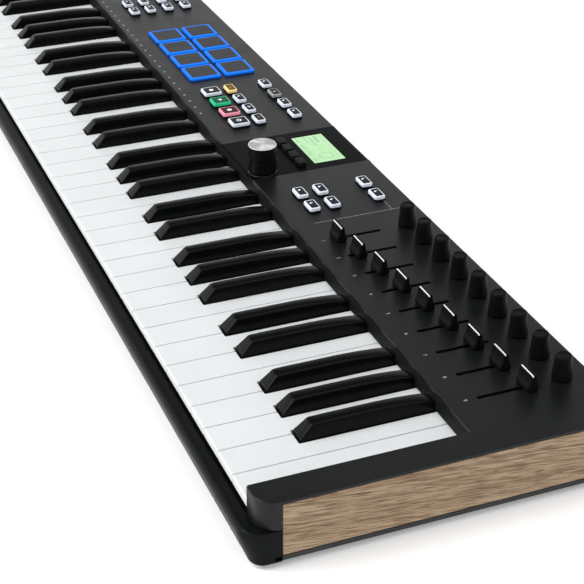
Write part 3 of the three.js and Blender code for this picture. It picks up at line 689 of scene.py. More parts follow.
def make_top_case():
    """The panel with its cheeks, the fallboard under its front edge, its rear wall and the display shelf."""
    make_piece("top_case_panel", joined(panel_half(-1), panel_half(1)), CASE, stands_for="top_case")
    make_piece("top_case_cheeks", joined(cheek(-1), cheek(1)), CASE, stands_for="top_case")
    under_edge = WHITE_TOP + 0.8
    foot = FALLBOARD - FALLBOARD_LEAN
    lip = [(FALLBOARD, PANEL_UNDERSIDE), (foot, under_edge + 0.7), (foot + 0.25, under_edge + 0.2),
           (foot + 0.8, under_edge), (FALLBOARD + WALL, under_edge), (FALLBOARD + WALL, PANEL_UNDERSIDE)]
    make_piece("top_case_fallboard", along_x(lip, CHEEK_INNER), FALLBOARD_FINISH,
               stands_for="top_case")
    back = rectangle(0, CASE_BACK - WALL / 2, 2 * SIDE_WALL, WALL)
    make_piece("top_case_rear_wall", plate(back, REAR_SPLIT + GAP, PANEL_UNDERSIDE, top=0.0, bottom=0.3),
               CASE, stands_for="top_case")
    bridge = rectangle((SHEET_LOW.x + SHEET_HIGH.x) / 2, (FALLBOARD + CASE_BACK) / 2,
                       SHEET_HIGH.x - SHEET_LOW.x + 8, CASE_BACK - FALLBOARD - 0.4)
    window = rectangle((LCD_LOW.x + LCD_HIGH.x) / 2, (LCD_LOW.y + LCD_HIGH.y) / 2 - 0.75,
                       LCD_HIGH.x - LCD_LOW.x - 10, LCD_HIGH.y - LCD_LOW.y - 6.5)
    holes = [window, circle(ENCODER.x, ENCODER.y, SHAFT_HOLE)] + [cap_hole(p, 1.0) for p in CONTEXT]
    shelf = plate(bridge, PANEL_UNDERSIDE - 1, SHEET_LOW.z - 0.2, top=0.0, holes=holes, hole_top=0.0)
    make_piece("display_shelf", shelf, CASE, stands_for="top_case")


def rail_loops():
    """The front rail: its section stands on the front edge and slims down round both corners."""
    nose = [(-RIM_FRONT, CASE_BOTTOM), (6.5, 8.6), (8, 12.6), (9, 16.6), (-RAIL_FRONT, 20), (8.6, 22.6)]
    inner = 8.6
    section = smooth([(-RAIL_FRONT - reach, z) for reach, z in nose], 4)
    section += [(2.0, RAIL_TOP - 0.25), (2.9, RAIL_TOP), (inner, RAIL_TOP), (inner, CASE_BOTTOM)]
    steps = 12
    right = []
    for k in range(steps, -1, -1):
        angle = math.pi / 2 * k / steps
        across, along = math.cos(angle), math.sin(angle)
        right.append((HALF_WIDTH - CORNER_RADIUS * (1 - across), RAIL_FRONT + CORNER_RADIUS * (1 - along),
                      -across, along))
    right.append((HALF_WIDTH, WOOD_FRONT, -1, 0))
    path = [(-x, y, -across, along) for x, y, across, along in right[::-1]] + right
    rings = []
    for x, y, across, along in path:
        share = along ** 2
        ring = []
        for inset, z in section:
            sideways, inwards = share, share
            if inset == inner:
                sideways, inwards = 0.7 if share < 0.5 else 1, 1
            ring.append((x + across * inset * sideways, y + along * inset * inwards, z))
        rings.append(ring)
    return rings


def make_bottom_case():
    """The front rail, the floor with its screws, and the low walls."""
    make_piece("bottom_case_rail", loft(rail_loops()), RAIL_FINISH, stands_for="bottom_case")
    base = outline([(-HALF_WIDTH, CASE_BACK, 1.0), (-HALF_WIDTH, RIM_FRONT, CORNER_RADIUS),
                    (HALF_WIDTH, RIM_FRONT, CORNER_RADIUS), (HALF_WIDTH, CASE_BACK, 1.0)], 10)
    make_piece("bottom_case_floor", plate(divided(base), CASE_BOTTOM, RIM_TOP, top=0.2, bottom=1.0),
               UNDERSIDE, stands_for="bottom_case")
    walls = []
    for x0, x1 in ((-SIDE_WALL, PLATE_LOW.x - GAP), (PLATE_HIGH.x + GAP, SIDE_WALL)):
        wall = rectangle((x0 + x1) / 2, CASE_BACK - WALL / 2, x1 - x0, WALL)
        walls.append(plate(wall, RIM_TOP - 0.5, REAR_SPLIT, top=0.3))
    for side in (-1, 1):
        wall = rectangle(side * (SIDE_WALL - WALL / 2), (WOOD_LOW.y + CASE_BACK) / 2, WALL,
                         CASE_BACK - WOOD_LOW.y)
        walls.append(plate(wall, RIM_TOP - 0.5, RAIL_TOP, top=0.0))
    make_piece("bottom_case_walls", joined(*walls), CASE, stands_for="bottom_case")
    screws, rings = [], []
    for x in (-420, -210, 0, 210, 420):
        for y in (34, 120, 196):
            rings.append(lathe([(0, 0), (4.6, 0), (4.6, -0.25), (4.3, -0.45), (3.6, -0.45), (3.4, -0.1),
                                (0, -0.1)], x, y, CASE_BOTTOM, 24))
            screws.append(screw_head(x, y, CASE_BOTTOM - 0.1))
    make_piece("screw_recesses", joined(*rings), UNDERSIDE)
    make_piece("case_screws", joined(*screws), STEEL)


def screw_head(x, y, z):
    """A pan head seen from below, with a cross recess."""
    cross = [(-0.4, -1.5), (0.4, -1.5), (0.4, -0.4), (1.5, -0.4), (1.5, 0.4), (0.4, 0.4), (0.4, 1.5),
             (-0.4, 1.5), (-0.4, 0.4), (-1.5, 0.4), (-1.5, -0.4), (-0.4, -0.4)]
    head = plate(circle(0, 0, 3.0, 24), 0, 0.8, top=0.5, holes=[cross], hole_top=0.05, steps=3)
    return moved(head, Matrix.Translation((x, y, z)) @ Matrix.Rotation(math.pi, 4, "X"))


def make_wood_panels():
    """A rounded board set into each end."""
    for side, node in ((-1, "wood_panel_left"), (1, "wood_panel_right")):
        low, high = layout_box(node)
        loop = rectangle(0, 0, high.y - low.y, high.z - low.z, 0.6, 4)
        board = plate(divided(loop, 20), 0, high.x - low.x, top=0.5)
        turn = Matrix(((0, 0, side, low.x if side > 0 else high.x), (1, 0, 0, (low.y + high.y) / 2),
                       (0, 1, 0, (low.z + high.z) / 2), (0, 0, 0, 1)))
        make_piece(f"{node}_board", moved(board, turn), WOOD, stands_for=node)


def make_feet():
    """Turned rubber feet with a raised ring to stand on."""
    for i in range(1, 5):
        low, high = layout_box(f"foot_{i}")
        x, y, _ = layout_centre(f"foot_{i}")
        radius = (high.x - low.x) / 2
        top = CASE_BOTTOM - GAP
        profile = [(0, 0), (radius - 2.4, 0), (radius - 1.6, 0.35), (radius - 1.2, 0.05),
                   (radius - 0.7, 0.1), (radius - 0.15, 0.6), (radius, 1.2), (radius, top - 0.4),
                   (radius - 0.4, top), (3, top), (3, 6.6), (2.4, high.z), (0, high.z)]
        make_piece(f"foot_{i}_pad", lathe(profile, x, y, 0, 48), FOOT_RUBBER, stands_for=f"foot_{i}")


# ---- keys ----


def octave_cells():
    """Each key of an octave: its name, the edges of its rear cell and, for a white key, its head."""
    names = ["C", "Cs", "D", "Ds", "E", "F", "Fs", "G", "Gs", "A", "As", "B"]
    cells, left, whites = [], 0.0, 0
    for i, name in enumerate(names):
        width = 3 * WHITE_PITCH / 5 if i < 5 else 4 * WHITE_PITCH / 7
        cells.append((name, left, left + width, whites * WHITE_PITCH))
        left += width
        whites += not name.endswith("s")
    return cells


def white_key(head, cell_left, cell_right):
    """A white key whose wide head starts at X head, and whose tail fills the cell between black keys."""
    left, right = head + KEY_SIDE, head + WHITE_PITCH - KEY_SIDE
    tail_left, tail_right = max(cell_left + GAP, left), min(cell_right - GAP, right)
    corners = [(left, 0, 0.8), (right, 0, 0.8)]
    if right - tail_right > 0.1:
        corners += [(right, HEAD_LENGTH, 0.6), (tail_right, HEAD_LENGTH, 0.8)]
    corners += [(tail_right, WHITE_END, 0), (tail_left, WHITE_END, 0)]
    if tail_left - left > 0.1:
        corners += [(tail_left, HEAD_LENGTH, 0.8), (left, HEAD_LENGTH, 0.6)]
    loop = divided(outline(corners, 4), 30)

    def rounding(_, y):
        return 0.7 if y < 0.2 else 0.35

    slab = plate(loop, WHITE_TOP - WHITE_THICKNESS, WHITE_TOP, top=rounding, bottom=0.4, steps=3)
    back = rectangle((tail_left + tail_right) / 2, 146, tail_right - tail_left, 20)
    lever = plate(back, 24.5, 27.4, top=0.3)
    return joined(slab, lever)


def black_half_width(height):
    """Half the width of a black key's flank at a height above the white keys."""
    slope = (BLACK_HALF - BLACK_TOP_HALF) / (BLACK_CREST + 1)
    return BLACK_HALF - slope * max(0.0, height)


def black_key(centre):
    """A black key: cross-sections from its sloping front, over its crest, down to the fallboard."""
    crest = BLACK_CREST
    front = [(BLACK_FRONT + 0.45, 0.2), (BLACK_FRONT + 0.55, 0.9), (BLACK_FRONT + 1.0, 1.7)]
    bevel = [(BLACK_FRONT + 6.6, crest - 1.9), (BLACK_FRONT + 7.4, crest - 1.0),
             (BLACK_FRONT + 8.3, crest - 0.45), (BLACK_FRONT + 9.8, crest - 0.16)]
    top = [(BLACK_FRONT + 16, crest - 0.02), (95, crest), (108, crest - 0.45), (119, crest - 1.35),
           (125.5, crest - 2.2), (128.6, crest - 2.9), (129.1, crest - 3.3)]
    rings = []
    for y, height in front + bevel + top:
        shoulder = min(1.25, height * 0.45)
        low_half = black_half_width(height - shoulder)
        high_half = black_half_width(height)
        z = WHITE_TOP + height
        side = [(BLACK_HALF, WHITE_TOP - TAIL_DEPTH), (BLACK_HALF, WHITE_TOP), (low_half, z - shoulder)]
        for t in (0.25, 0.5, 0.75, 1.0):
            across = (1 - t) ** 2 * low_half + 2 * t * (1 - t) * high_half + t * t * (high_half - shoulder)
            up = (1 - t) ** 2 * (z - shoulder) + 2 * t * (1 - t) * z + t * t * z
            side.append((across, up))
        side.append(((high_half - shoulder) / 2, z + 0.12))
        ring = [(centre - across, y, up) for across, up in side]
        ring += [(centre, y, z + 0.16)] + [(centre + across, y, up) for across, up in side[::-1]]
        rings.append(ring)
    hidden = rectangle(centre, 138.6, 2 * BLACK_HALF, 19.6)
    tail = plate(hidden, WHITE_TOP - TAIL_DEPTH, WHITE_TOP - 0.5, top=0.3)
    return joined(loft(rings), tail)


def make_keys():
    """All 61 keys, each riding its own body or the comb that it is part of."""
    for octave in range(OCTAVES):
        left = KEYBED_LEFT + octave * OCTAVE
        number = octave + 2
        comb = "C2_B3" if octave < 2 else "C4_B5"
        for name, cell_left, cell_right, head in octave_cells():
            black = name.endswith("s")
            colour = "black" if black else "white"
            body = f"key_{name}6" if octave == OCTAVES - 1 else f"{colour}_keys_{comb}"
            if black:
                shape = black_key(left + (cell_left + cell_right) / 2)
            else:
                shape = white_key(left + head, left + cell_left, left + cell_right)
            make_piece(f"{colour}_key_{name}{number}", shape, BLACK_KEY if black else WHITE_KEY, body,
                       stands_for=body, sharp_degrees=30)
    last = KEYBED_LEFT + OCTAVES * OCTAVE
    make_piece("white_key_C7", white_key(last, last, last + WHITE_PITCH), WHITE_KEY, "key_C7",
               stands_for="key_C7")


# ---- display and sockets ----


def lcd_frame():
    """The opening of the display: its centre and size."""
    x0, x1 = LCD_LOW.x + LCD_MARGIN_X, LCD_HIGH.x - LCD_MARGIN_X
    y0, y1 = LCD_LOW.y + LCD_MARGIN_FRONT, LCD_HIGH.y - LCD_MARGIN_BACK
    return (x0 + x1) / 2, (y0 + y1) / 2, x1 - x0, y1 - y0


def make_display():
    """The glossy sheet, and the lit display under its window with a plain layout of marks."""
    x, y, width, depth = lcd_frame()
    sheet = rectangle((SHEET_LOW.x + SHEET_HIGH.x) / 2, (FALLBOARD + CASE_BACK) / 2,
                      SHEET_HIGH.x - SHEET_LOW.x, CASE_BACK - FALLBOARD)
    holes = [rectangle(x, y, width, depth, 0.8), circle(ENCODER.x, ENCODER.y, SHAFT_HOLE)]
    holes += [cap_hole(p, 1.0) for p in CONTEXT]

    def rounding(_, along):
        return UPPER_ROUND if along < FALLBOARD + 0.1 or along > CASE_BACK - 0.1 else SQUARE

    window = plate(divided(sheet), SHEET_LOW.z, PANEL_TOP, top=rounding, holes=holes, hole_top=0.2)
    make_piece("display_window_sheet", window, GLOSS, stands_for="display_window")
    top = PANEL_TOP - 0.3
    glass = plate(rectangle(x, y, width - 0.6, depth - 0.6, 0.5), top - 2.8, top, top=0.15)
    module = plate(rectangle(x, y - 0.75, width + 10, depth + 6.5, 1.0), 36.0, 40.0, top=0.3)
    make_piece("lcd_glass", glass, LCD_GREEN, stands_for="lcd_module")
    make_piece("lcd_housing", module, SOCKET_BLACK, stands_for="lcd_module")
    marks = [bar(x, y + 9.6, width - 6, 0.25), bar(x, y - 8.0, width - 6, 0.25)]
    marks += [bar(x - 19 + 12.6 * i, y - 10.0, 8, 1.2) for i in range(4)]
    marks += [bar(x - 16, y + 5.0, 12, 2.0), bar(x - 14, y + 0.6, 16, 1.2)]
    marks += [bar(x - 17, y - 3.2, 10, 1.2)]
    marks += [mark(circle(x + 14, y + 0.8, 5.6, 32), circle(x + 14, y + 0.8, 4.8, 32))]
    make_piece("lcd_marks", moved(joined(*marks), Matrix.Translation((0, 0, top))), LCD_INK)


def make_sockets():
    """The connector plate with a USB, a five-pin and a pedal socket."""
    usb, midi, pedal = (layout_centre(name) for name in ("usb_socket", "midi_socket", "pedal_jack"))
    z = usb.z
    back = footprint(PLATE_LOW.xz, PLATE_HIGH.xz, 0.8)
    holes = [rectangle(usb.x, z, 10, 4.4, 1.8), circle(midi.x, z, 8.4, 40), circle(pedal.x, z, 5.6, 32)]
    face = plate(back, 0, WALL, top=0.3, holes=holes)
    make_piece("connector_plate_face", stood_up(face, CASE_BACK - WALL), CASE,
               stands_for="connector_plate")
    shell = plate(rectangle(usb.x, z, 9.0, 3.4, 1.6), 0, 8.0, top=0.15,
                  holes=[rectangle(usb.x, z, 8.2, 2.6, 1.25)], hole_top=0.1)
    floor = plate(rectangle(usb.x, z, 8.6, 3.0, 1.4), 0, 0.8, top=0)
    tongue = plate(rectangle(usb.x, z, 6.4, 0.8, 0.2), 0, 6.2, top=0.1)
    make_piece("usb_socket_shell", stood_up(joined(shell, floor), CASE_BACK - 8.3), STEEL,
               stands_for="usb_socket")
    make_piece("usb_socket_tongue", stood_up(tongue, CASE_BACK - 8.3), SOCKET_BLACK)
    rim = plate(circle(midi.x, z, 8.1, 48), 0, 10.0, top=0.3,
                holes=[circle(midi.x, z, 7.2, 48)], hole_top=0.2)
    well = plate(circle(midi.x, z, 7.9, 48), 0, 1.6, top=0)
    key = plate(rectangle(midi.x, z - 6.6, 2.4, 1.4, 0.3), 0, 9.0, top=0.2)
    body = plate(rectangle(midi.x, z - 0.25, 20, 19.5, 1.0), 0, 6.7, top=0.3)
    make_piece("midi_socket_body", joined(stood_up(joined(rim, well, key), CASE_BACK - 10),
                                          stood_up(body, CASE_BACK - 17.3)), SOCKET_BLACK,
               stands_for="midi_socket")
    pins = []
    for degrees in (180, 225, 270, 315, 360):
        angle = math.radians(degrees)
        u, v = midi.x + 3.7 * math.cos(angle), z - 3.7 * math.sin(angle)
        pins.append(plate(circle(u, v, 0.75, 14), 0, 1.0, top=0.1, holes=[circle(u, v, 0.4, 10)],
                          hole_top=0.05))
    make_piece("midi_socket_contacts", stood_up(joined(*pins), CASE_BACK - 8.5), GOLD_PIN)
    bore = circle(pedal.x, z, 3.4, 32)
    nut = plate(circle(pedal.x, z, 5.3, 6), 0, 1.9, top=0.3, holes=[bore], hole_top=0.2)
    barrel = plate(rectangle(pedal.x, z, 16, 16, 1.2), 0, 25.5, top=0.3, holes=[bore], hole_top=0.1)
    make_piece("pedal_jack_nut", stood_up(nut, CASE_BACK - 1.9), STEEL, stands_for="pedal_jack")
    make_piece("pedal_jack_body", stood_up(barrel, CASE_BACK - 2.4 - 25.5), SOCKET_BLACK,
               stands_for="pedal_jack")


# ---- flat marks ----


def mark(outer, hole=None):
    """A thin printed shape, with a hole if one is given."""
    return plate(outer, 0, PRINT_THICKNESS, top=0, holes=[hole] if hole else (), hole_top=0)


def bar(x, y, width, depth, radius=0.1):
    return mark(rectangle(x, y, width, depth, min(radius, width / 2.1, depth / 2.1), 2))


def icon(kind, x, y, size):
    """A plain symbol: square, play, dot, ring, corner, chevrons or, otherwise, bars."""
    if kind == "square":
        return bar(x, y, size, size)
    if kind == "dot":
        return mark(circle(x, y, size * 0.58, 20))
    if kind == "play":
        back = x - size * 0.45
        return mark([(back, y - size * 0.55), (x + size * 0.6, y), (back, y + size * 0.55)])
    if kind == "ring":
        return mark(circle(x, y, size * 0.62), circle(x, y, size * 0.4))
    if kind == "corner":
        left, front = x - size * 1.1, y - size * 0.6
        return joined(bar(left, front + size * 0.6, size * 0.4, size * 1.2, radius=0),
                      bar(left + size * 0.5, front + size * 0.2, size * 0.62, size * 0.4, radius=0))
    if kind == "chevrons":
        bend = [(0, -0.45), (0.45, 0), (0, 0.45), (-0.1, 0.3), (0.2, 0), (-0.1, -0.3)]
        return joined(*[mark([(x + (shift + u) * size, y + v * size) for u, v in bend])
                        for shift in (-0.4, 0.25)])
    return joined(*[bar(x + size * shift, y, size * 0.2, size * height)
                    for shift, height in ((-0.4, 0.5), (0, 1), (0.4, 0.7))])


# ---- controls ----


def fader_cap(x, y):
    """A fader cap: a soft-cornered foot that draws in to an upright fin along X."""
    levels = [(0.3, 7.0, 3.5, 1.5), (0.7, 7.35, 3.95, 1.8), (1.6, 7.5, 4.1, 1.9), (3.0, 7.45, 3.9, 1.8),
              (4.5, 7.4, 3.2, 1.5), (6.2, 7.3, 2.5, 1.2), (8.0, 7.2, 2.05, 0.9), (9.6, 7.1, 1.8, 0.7),
              (10.5, 7.05, 1.7, 0.6), (10.85, 6.9, 1.55, 0.5), (11.0, 6.65, 1.3, 0.4)]
    rings = [[(u, v, PANEL_TOP + height) for u, v in rectangle(x, y, 2 * half_x, 2 * half_y, radius, 4)]
             for height, half_x, half_y, radius in smooth(levels, 2)]
    return loft(rings)


def make_faders():
    """Each fader is a cap on a stem, with a white line let into its ridge."""
    ridge = PANEL_TOP + 11.0
    line = [(-6.4, -0.3), (6.4, -0.3), (6.7, -0.7), (7.1, -0.7), (7.05, -0.3), (6.7, 0.08), (-6.4, 0.08)]
    for i in range(1, STRIPS + 1):
        node = f"fader_{i}"
        x, y, _ = layout_centre(node)
        stem = plate(rectangle(x, y, 1.6, 4, 0.3, 2), layout_box(node)[0].z, PANEL_TOP + 0.7, top=0)
        make_piece(f"{node}_cap", joined(fader_cap(x, y), stem), KNOB, node, stands_for=node)
        strip = plate([(x + u, ridge + v) for u, v in line], 0, 1.0, top=0.08, bottom=0.08, steps=2)
        make_piece(f"{node}_line", stood_up(strip, y - 1.25), FADER_LINE, node)


def make_knobs():
    """Slim fluted knobs with a dished top."""
    def flutes(angle, height):
        share = max(0.0, min(1.0, (14.6 - height) / 1.5)) * max(0.0, min(1.0, (height - 1.6) / 0.8))
        return -0.1 * share * (0.5 + 0.5 * math.cos(angle * 30)) ** 2

    profile = [(0, 0.4), (5.4, 0.4), (6.0, 0.6), (6.2, 1.2), (6.2, 1.8), (6.05, 2.6), (5.75, 6),
               (5.4, 10), (5.08, 13.6), (5.0, 14.8), (4.93, 15.5), (4.72, 16.0), (4.4, 16.25),
               (4.1, 16.3), (3.95, 16.1), (3.85, 15.85), (0, 15.8)]
    for i in range(1, STRIPS + 1):
        node = f"knob_{i}"
        x, y, _ = layout_centre(node)
        foot, top = layout_box(node)[0].z, PANEL_TOP + 0.5
        cap = lathe(profile, x, y, PANEL_TOP, 120, flutes)
        shaft = lathe([(0, foot), (3, foot), (3, top), (0, top)], x, y, 0, 24)
        make_piece(f"{node}_cap", joined(cap, shaft), KNOB, node, stands_for=node)


def make_encoder():
    """The push-turn selector: two dark bands with a groove between them, under a metal disc."""
    low, high = layout_box("encoder_knob")
    radius = (high.x - low.x) / 2
    x, y = ENCODER.x, ENCODER.y

    def flutes(angle, height):
        share = max(0.0, min(1.0, (height - low.z - 1) / 1.0, (low.z + 9.6 - height) / 1.0))
        return -0.14 * share * (0.5 + 0.5 * math.cos(angle * 48))

    middle = low.z + 9.8
    rim = high.z - 1.4
    profile = [(0, low.z), (radius - 1.0, low.z), (radius - 0.2, low.z + 0.3), (radius, low.z + 1.2),
               (radius, middle - 0.2), (radius - 0.2, middle), (radius - 1.8, middle),
               (radius - 1.8, middle + 0.8), (radius - 0.25, middle + 0.8), (radius - 0.1, middle + 1.0),
               (radius - 0.1, rim), (radius - 0.5, rim + 0.2), (0, rim + 0.2)]
    make_piece("encoder_knob_body", lathe(profile, x, y, 0, 144, flutes), ENCODER_BLACK, "encoder_knob",
               stands_for="encoder_knob")
    disc = [(0, rim), (radius - 0.9, rim), (radius - 0.35, rim + 0.15), (radius - 0.15, rim + 0.5),
            (radius - 0.3, high.z - 0.25), (radius - 0.7, high.z), (radius - 1.3, high.z),
            (radius - 1.9, high.z - 0.1), (0, high.z - 0.12)]
    make_piece("encoder_knob_disc", lathe(disc, 0, 0, 0, 96), SPUN, "encoder_knob", origin=(x, y, 0))
    ring = [(radius - 0.6, 0), (radius + 0.25, 0), (radius + 0.15, 0.15), (radius - 0.1, 0.2),
            (radius - 0.6, 0.2), (radius - 0.6, 0)]
    make_piece("encoder_base_ring", lathe(ring, x, y, PANEL_TOP, 64), RING)


def make_wheels():
    """The performance wheels: a rubber tyre with grip lines and a finger dimple, on a hub."""
    for node, tilt in (("pitch_wheel", 0.0), ("mod_wheel", 40.0)):
        joint = next(j for j in frame["joints"] if j["child"] == node)
        centre = Vector((0, joint["pos_m"][1] - KEY_FRONT, joint["pos_m"][2])) / MM
        x = layout_centre(node).x
        radius, half, dimple_radius, dimple_reach = 20.0, 7.0, 8.0, 26.0
        rings = []
        for i in range(180):
            angle = math.tau * i / 180
            reach = radius
            off = (angle - math.radians(90 + tilt) + math.pi) % math.tau - math.pi
            inside = dimple_radius ** 2 - (dimple_reach * math.sin(off)) ** 2
            if abs(off) < 0.5 and inside > 0:
                reach = min(radius, dimple_reach * math.cos(off) - math.sqrt(inside))
            elif i % 4 == 0:
                reach = radius - 0.25
            edge = [(half, 5.0), (half, reach - 1.4), (half - 0.4, reach - 0.4), (half - 1.4, reach)]
            section = [(-u, r) for u, r in edge] + edge[::-1]
            rings.append([(x + u, centre.y + r * math.cos(angle), centre.z + r * math.sin(angle))
                          for u, r in section])
        tyre = loft(rings, closed=True)
        axle = lathe([(0, -10.2), (2.4, -10.2), (2.4, 10.2), (0, 10.2)], 0, 0, 0, 24)
        hub = lathe([(0, -half - 0.2), (6.2, -half - 0.2), (6.6, -half + 0.2), (6.6, half - 0.2),
                     (6.2, half + 0.2), (0, half + 0.2)], 0, 0, 0, 40)
        lie = Matrix.Translation((x, centre.y, centre.z)) @ Matrix.Rotation(math.pi / 2, 4, "Y")
        make_piece(f"{node}_tyre", tyre, WHEEL_RUBBER, node, stands_for=node)
        make_piece(f"{node}_hub", moved(joined(axle, hub), lie), SOCKET_BLACK, node)


def make_pads():
    """Eight pads: lit rims round grey faces, on one web."""
    rims, faces = [], []
    for x, y, width, depth in PADS:
        rims.append(plate(rectangle(x, y, width, depth, 2.2, 6), MAT_TOP - 1, PAD_TOP, top=0.9, steps=5))
        face = rectangle(x, y, width - 5.0, depth - 5.0, 1.4, 6)
        faces.append(plate(face, PAD_TOP - 0.4, PAD_TOP + 0.22, top=0.35))
    low, high = layout_box("pad_mat")
    web = plate(footprint(low, high, 2), low.z, MAT_TOP)
    make_piece("pad_rims", joined(*rims), PAD_GLOW, "pad_mat", stands_for="pad_mat")
    make_piece("pad_faces", joined(*faces), PAD_RUBBER, "pad_mat", stands_for="pad_mat")
    make_piece("pad_web", web, PAD_RUBBER, "pad_mat", stands_for="pad_mat")


def make_caps(body, keys):
    """The lit caps of one mat, each dark below its lit part as painted shade. Each key is (place, symbol,
    (cap, symbol's and inset's material)).
    """
    low, high = layout_box(body)
    lit, insets, marks = {}, {}, {}
    web_and_shade_skirts = [plate(footprint(low, high, 1.5), low.z, MAT_TOP)]
    for (x, y, width, depth), symbol, (finish, ink, face) in keys:
        loop = rectangle(x, y, width, depth, 1.9, 6)
        # Painted shade: the lower part of each cap is dark, below its lit part.
        web_and_shade_skirts.append(plate(loop, MAT_TOP - 0.2, high.z - LIT_HEIGHT, top=0))
        lit.setdefault(finish, []).append(plate(loop, high.z - LIT_HEIGHT, high.z, top=0.8, steps=5))
        inset = rectangle(x + 0.15, y + 0.15, width - 2.6, depth - 2.5, 0.7, 4)
        insets.setdefault(face, []).append(plate(inset, high.z - 0.4, high.z + 0.1, top=0.08))
        symbol_mesh = icon(symbol, x, y, 3.2 if depth > 10 else 1.8)
        marks.setdefault(ink, []).append(moved(symbol_mesh, Matrix.Translation((0, 0, high.z + 0.09))))
    make_piece(f"{body}_skirts", joined(*web_and_shade_skirts), WEB_AND_SHADE_SKIRT, body, stands_for=body)
    for group in (lit, insets, marks):
        for finish, shapes in group.items():
            make_piece(f"{body}_{finish.name}", joined(*shapes), finish, body, stands_for=body)


def make_buttons():
    """The lit buttons of the three mats, and the dark ones beside the display."""
    white = (CAP_WHITE, ICON_WHITE, INSET)
    green = (CAP_GREEN, ICON_WHITE, INSET_GREEN)
    pink = (CAP_PINK, ICON_WHITE, INSET_PINK)
    yellow = (CAP_YELLOW, ICON_AMBER, INSET_AMBER)
    marked = (CAP_WHITE, ICON_AMBER, INSET)
    dim = (CAP_DIM, ICON_WHITE, INSET)
    looks = [white, green, pink, white, yellow, white, white, marked, white, dim, white, white]
    symbols = ["square", "play", "dot", "ring", "bars", "corner", "ring", "bars",
               "corner", "chevrons", "corner", "corner"]
    make_caps("transport_buttons", zip(TRANSPORT_FRONT + TRANSPORT_BACK + COMMANDS, symbols, looks))
    make_caps("part_buttons", [(place, "corner", white) for place in PARTS])
    make_caps("performance_buttons", [(place, "corner", white) for place in PERFORMANCE])
    low, high = layout_box("context_buttons")
    caps = [plate(rectangle(x, y, width, depth, 1.0, 5), MAT_TOP - 0.8, high.z, top=0.7, steps=5)
            for x, y, width, depth in CONTEXT]
    web = plate(footprint(low, high, 1.5), low.z, MAT_TOP)
    make_piece("context_buttons_caps", joined(*caps, web), DARK_BUTTON,
               "context_buttons", stands_for="context_buttons")


# ---- printing and carried-over nodes -----------------------------------------------------------


def digit(text, x, y, size):
    """A numeral printed on the panel, as a mesh in layout millimetres."""
    curve = bpy.data.curves.new("numeral", "FONT")
    curve.body = text
    curve.size = size
    curve.extrude = 0.03
    curve.align_x = curve.align_y = "CENTER"
    holder = bpy.data.objects.new("numeral", curve)
    mesh = bpy.data.meshes.new_from_object(holder)
    verts = [(x + v.co.x, y + v.co.y, v.co.z) for v in mesh.vertices]
    faces = [tuple(p.vertices) for p in mesh.polygons]
    bpy.data.objects.remove(holder)
    bpy.data.curves.remove(curve)
    bpy.data.meshes.remove(mesh)
    return verts, faces


def make_printing():
    """Dots over the keys, numerals at the faders and thin dividing lines."""
    lift = Matrix.Translation((0, 0, PANEL_TOP - 0.02))
    pitch = OCTAVE / 12
    dots = [mark(circle(-50.3 - pitch * i, 136.1, 0.95, 16)) for i in range(24)]
    digits = [digit(str(i + 1), strip_x(i), 143.2, 3.4) for i in range(STRIPS)]
    make_piece("panel_dots", moved(joined(*dots), lift), PRINT)
    make_piece("panel_numerals", moved(joined(*digits), lift), PRINT)
    lines = [bar(LINE_X, 180, 0.55, 65), bar(LINE_X - 7.75, 207, 15, 0.5)]
    make_piece("panel_lines", moved(joined(*lines), lift), PRINT_GREY)


def finish_cad_nodes():
    """Inner parts keep their CAD shape and take a procedural finish."""
    finishes = {"key_frame": CHASSIS, "main_board": BOARD, "encoder_shaft": STEEL}
    for node, material in finishes.items():
        mesh = frame["nodes"][node].data
        mesh.materials.clear()
        mesh.materials.append(material)


# ---- stage ----


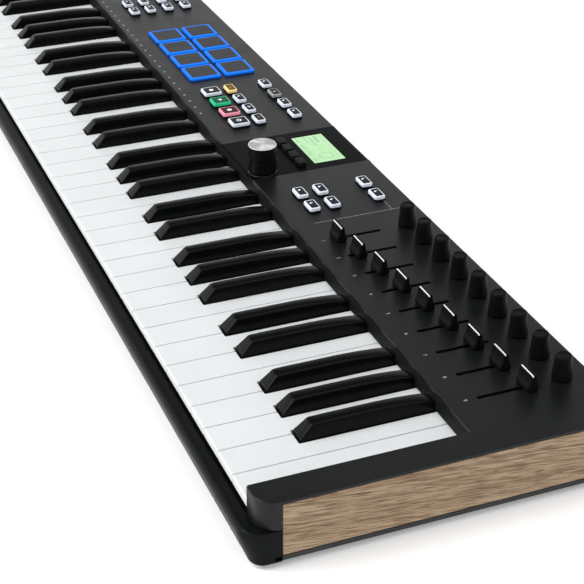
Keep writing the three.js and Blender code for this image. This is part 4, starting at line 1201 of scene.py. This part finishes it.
def make_stage():
    """A white floor, and a studio world for the reflections."""
    mesh = bpy.data.meshes.new("floor")
    reach = 40.0
    corners = [(-reach, -reach, 0), (reach, -reach, 0), (reach, reach, 0), (-reach, reach, 0)]
    mesh.from_pydata(corners, [], [(0, 1, 2, 3)])
    floor = bpy.data.objects.new("floor", mesh)
    bpy.context.scene.collection.objects.link(floor)
    material, tree, shader = new_material("floor_white", {
        "Roughness": 0.9, "Specular IOR Level": 0.1, "Emission Color": (1, 1, 1, 1),
        "Emission Strength": 0.2})
    mottle(tree, shader.inputs["Base Color"], 400, 2.0, (0.93,) * 3, (0.95,) * 3)
    mesh.materials.append(material)
    world = bpy.data.worlds.new("studio")
    world.use_nodes = True
    tree = world.node_tree
    direction = add_node(tree, "ShaderNodeTexCoord")
    parts = add_node(tree, "ShaderNodeSeparateXYZ")
    tree.links.new(direction.outputs["Generated"], parts.inputs["Vector"])
    # Bright near the horizon and dark overhead, so that flat tops stay dark.
    walls = ramp(tree, parts.outputs["Z"], [(0.0, (1.0,) * 3), (0.3, (1.0,) * 3),
                                            (0.42, (0.55,) * 3), (0.56, (0.1,) * 3)])
    tree.nodes["Background"].inputs["Strength"].default_value = 1.25
    tree.links.new(walls, tree.nodes["Background"].inputs["Color"])
    bpy.context.scene.world = world
    bpy.context.scene.view_settings.view_transform = "Standard"


def add_soft_light(name, azimuth, elevation, strength, spread_degrees):
    """A broad distant light: azimuth 0 stands in front of the keys, and 90 at their treble end."""
    data = bpy.data.lights.new(name, "SUN")
    data.energy, data.angle = strength, math.radians(spread_degrees)
    light = bpy.data.objects.new(name, data)
    light.rotation_euler = (math.radians(90 - elevation), 0, math.radians(azimuth))
    bpy.context.scene.collection.objects.link(light)


def make_camera():
    data = bpy.data.cameras.new("camera")
    data.lens = 94.27
    data.sensor_width = 36.0
    data.shift_x, data.shift_y = 0.0483, -0.001
    data.clip_start, data.clip_end = 0.05, 60.0
    camera = bpy.data.objects.new("camera", data)
    bpy.context.scene.collection.objects.link(camera)
    forward = Vector((-0.81060, 0.30523, -0.49977)).normalized()
    right = forward.cross(Vector((-0.46418, 0.18541, 0.86612))).normalized()
    turn = Matrix((right, right.cross(forward), -forward)).transposed().to_4x4()
    camera.matrix_world = Matrix.Translation((1.03364, -0.32724, 0.53440)) @ turn
    bpy.context.scene.camera = camera


make_camera()
make_stage()
add_soft_light("key_light", -20, 46, 2.6, 40)
add_soft_light("fill_light", 120, 65, 0.8, 50)
make_top_case()
make_bottom_case()
make_wood_panels()
make_feet()
make_keys()
make_display()
make_sockets()
make_faders()
make_knobs()
make_encoder()
make_wheels()
make_pads()
make_buttons()
make_printing()
finish_cad_nodes()
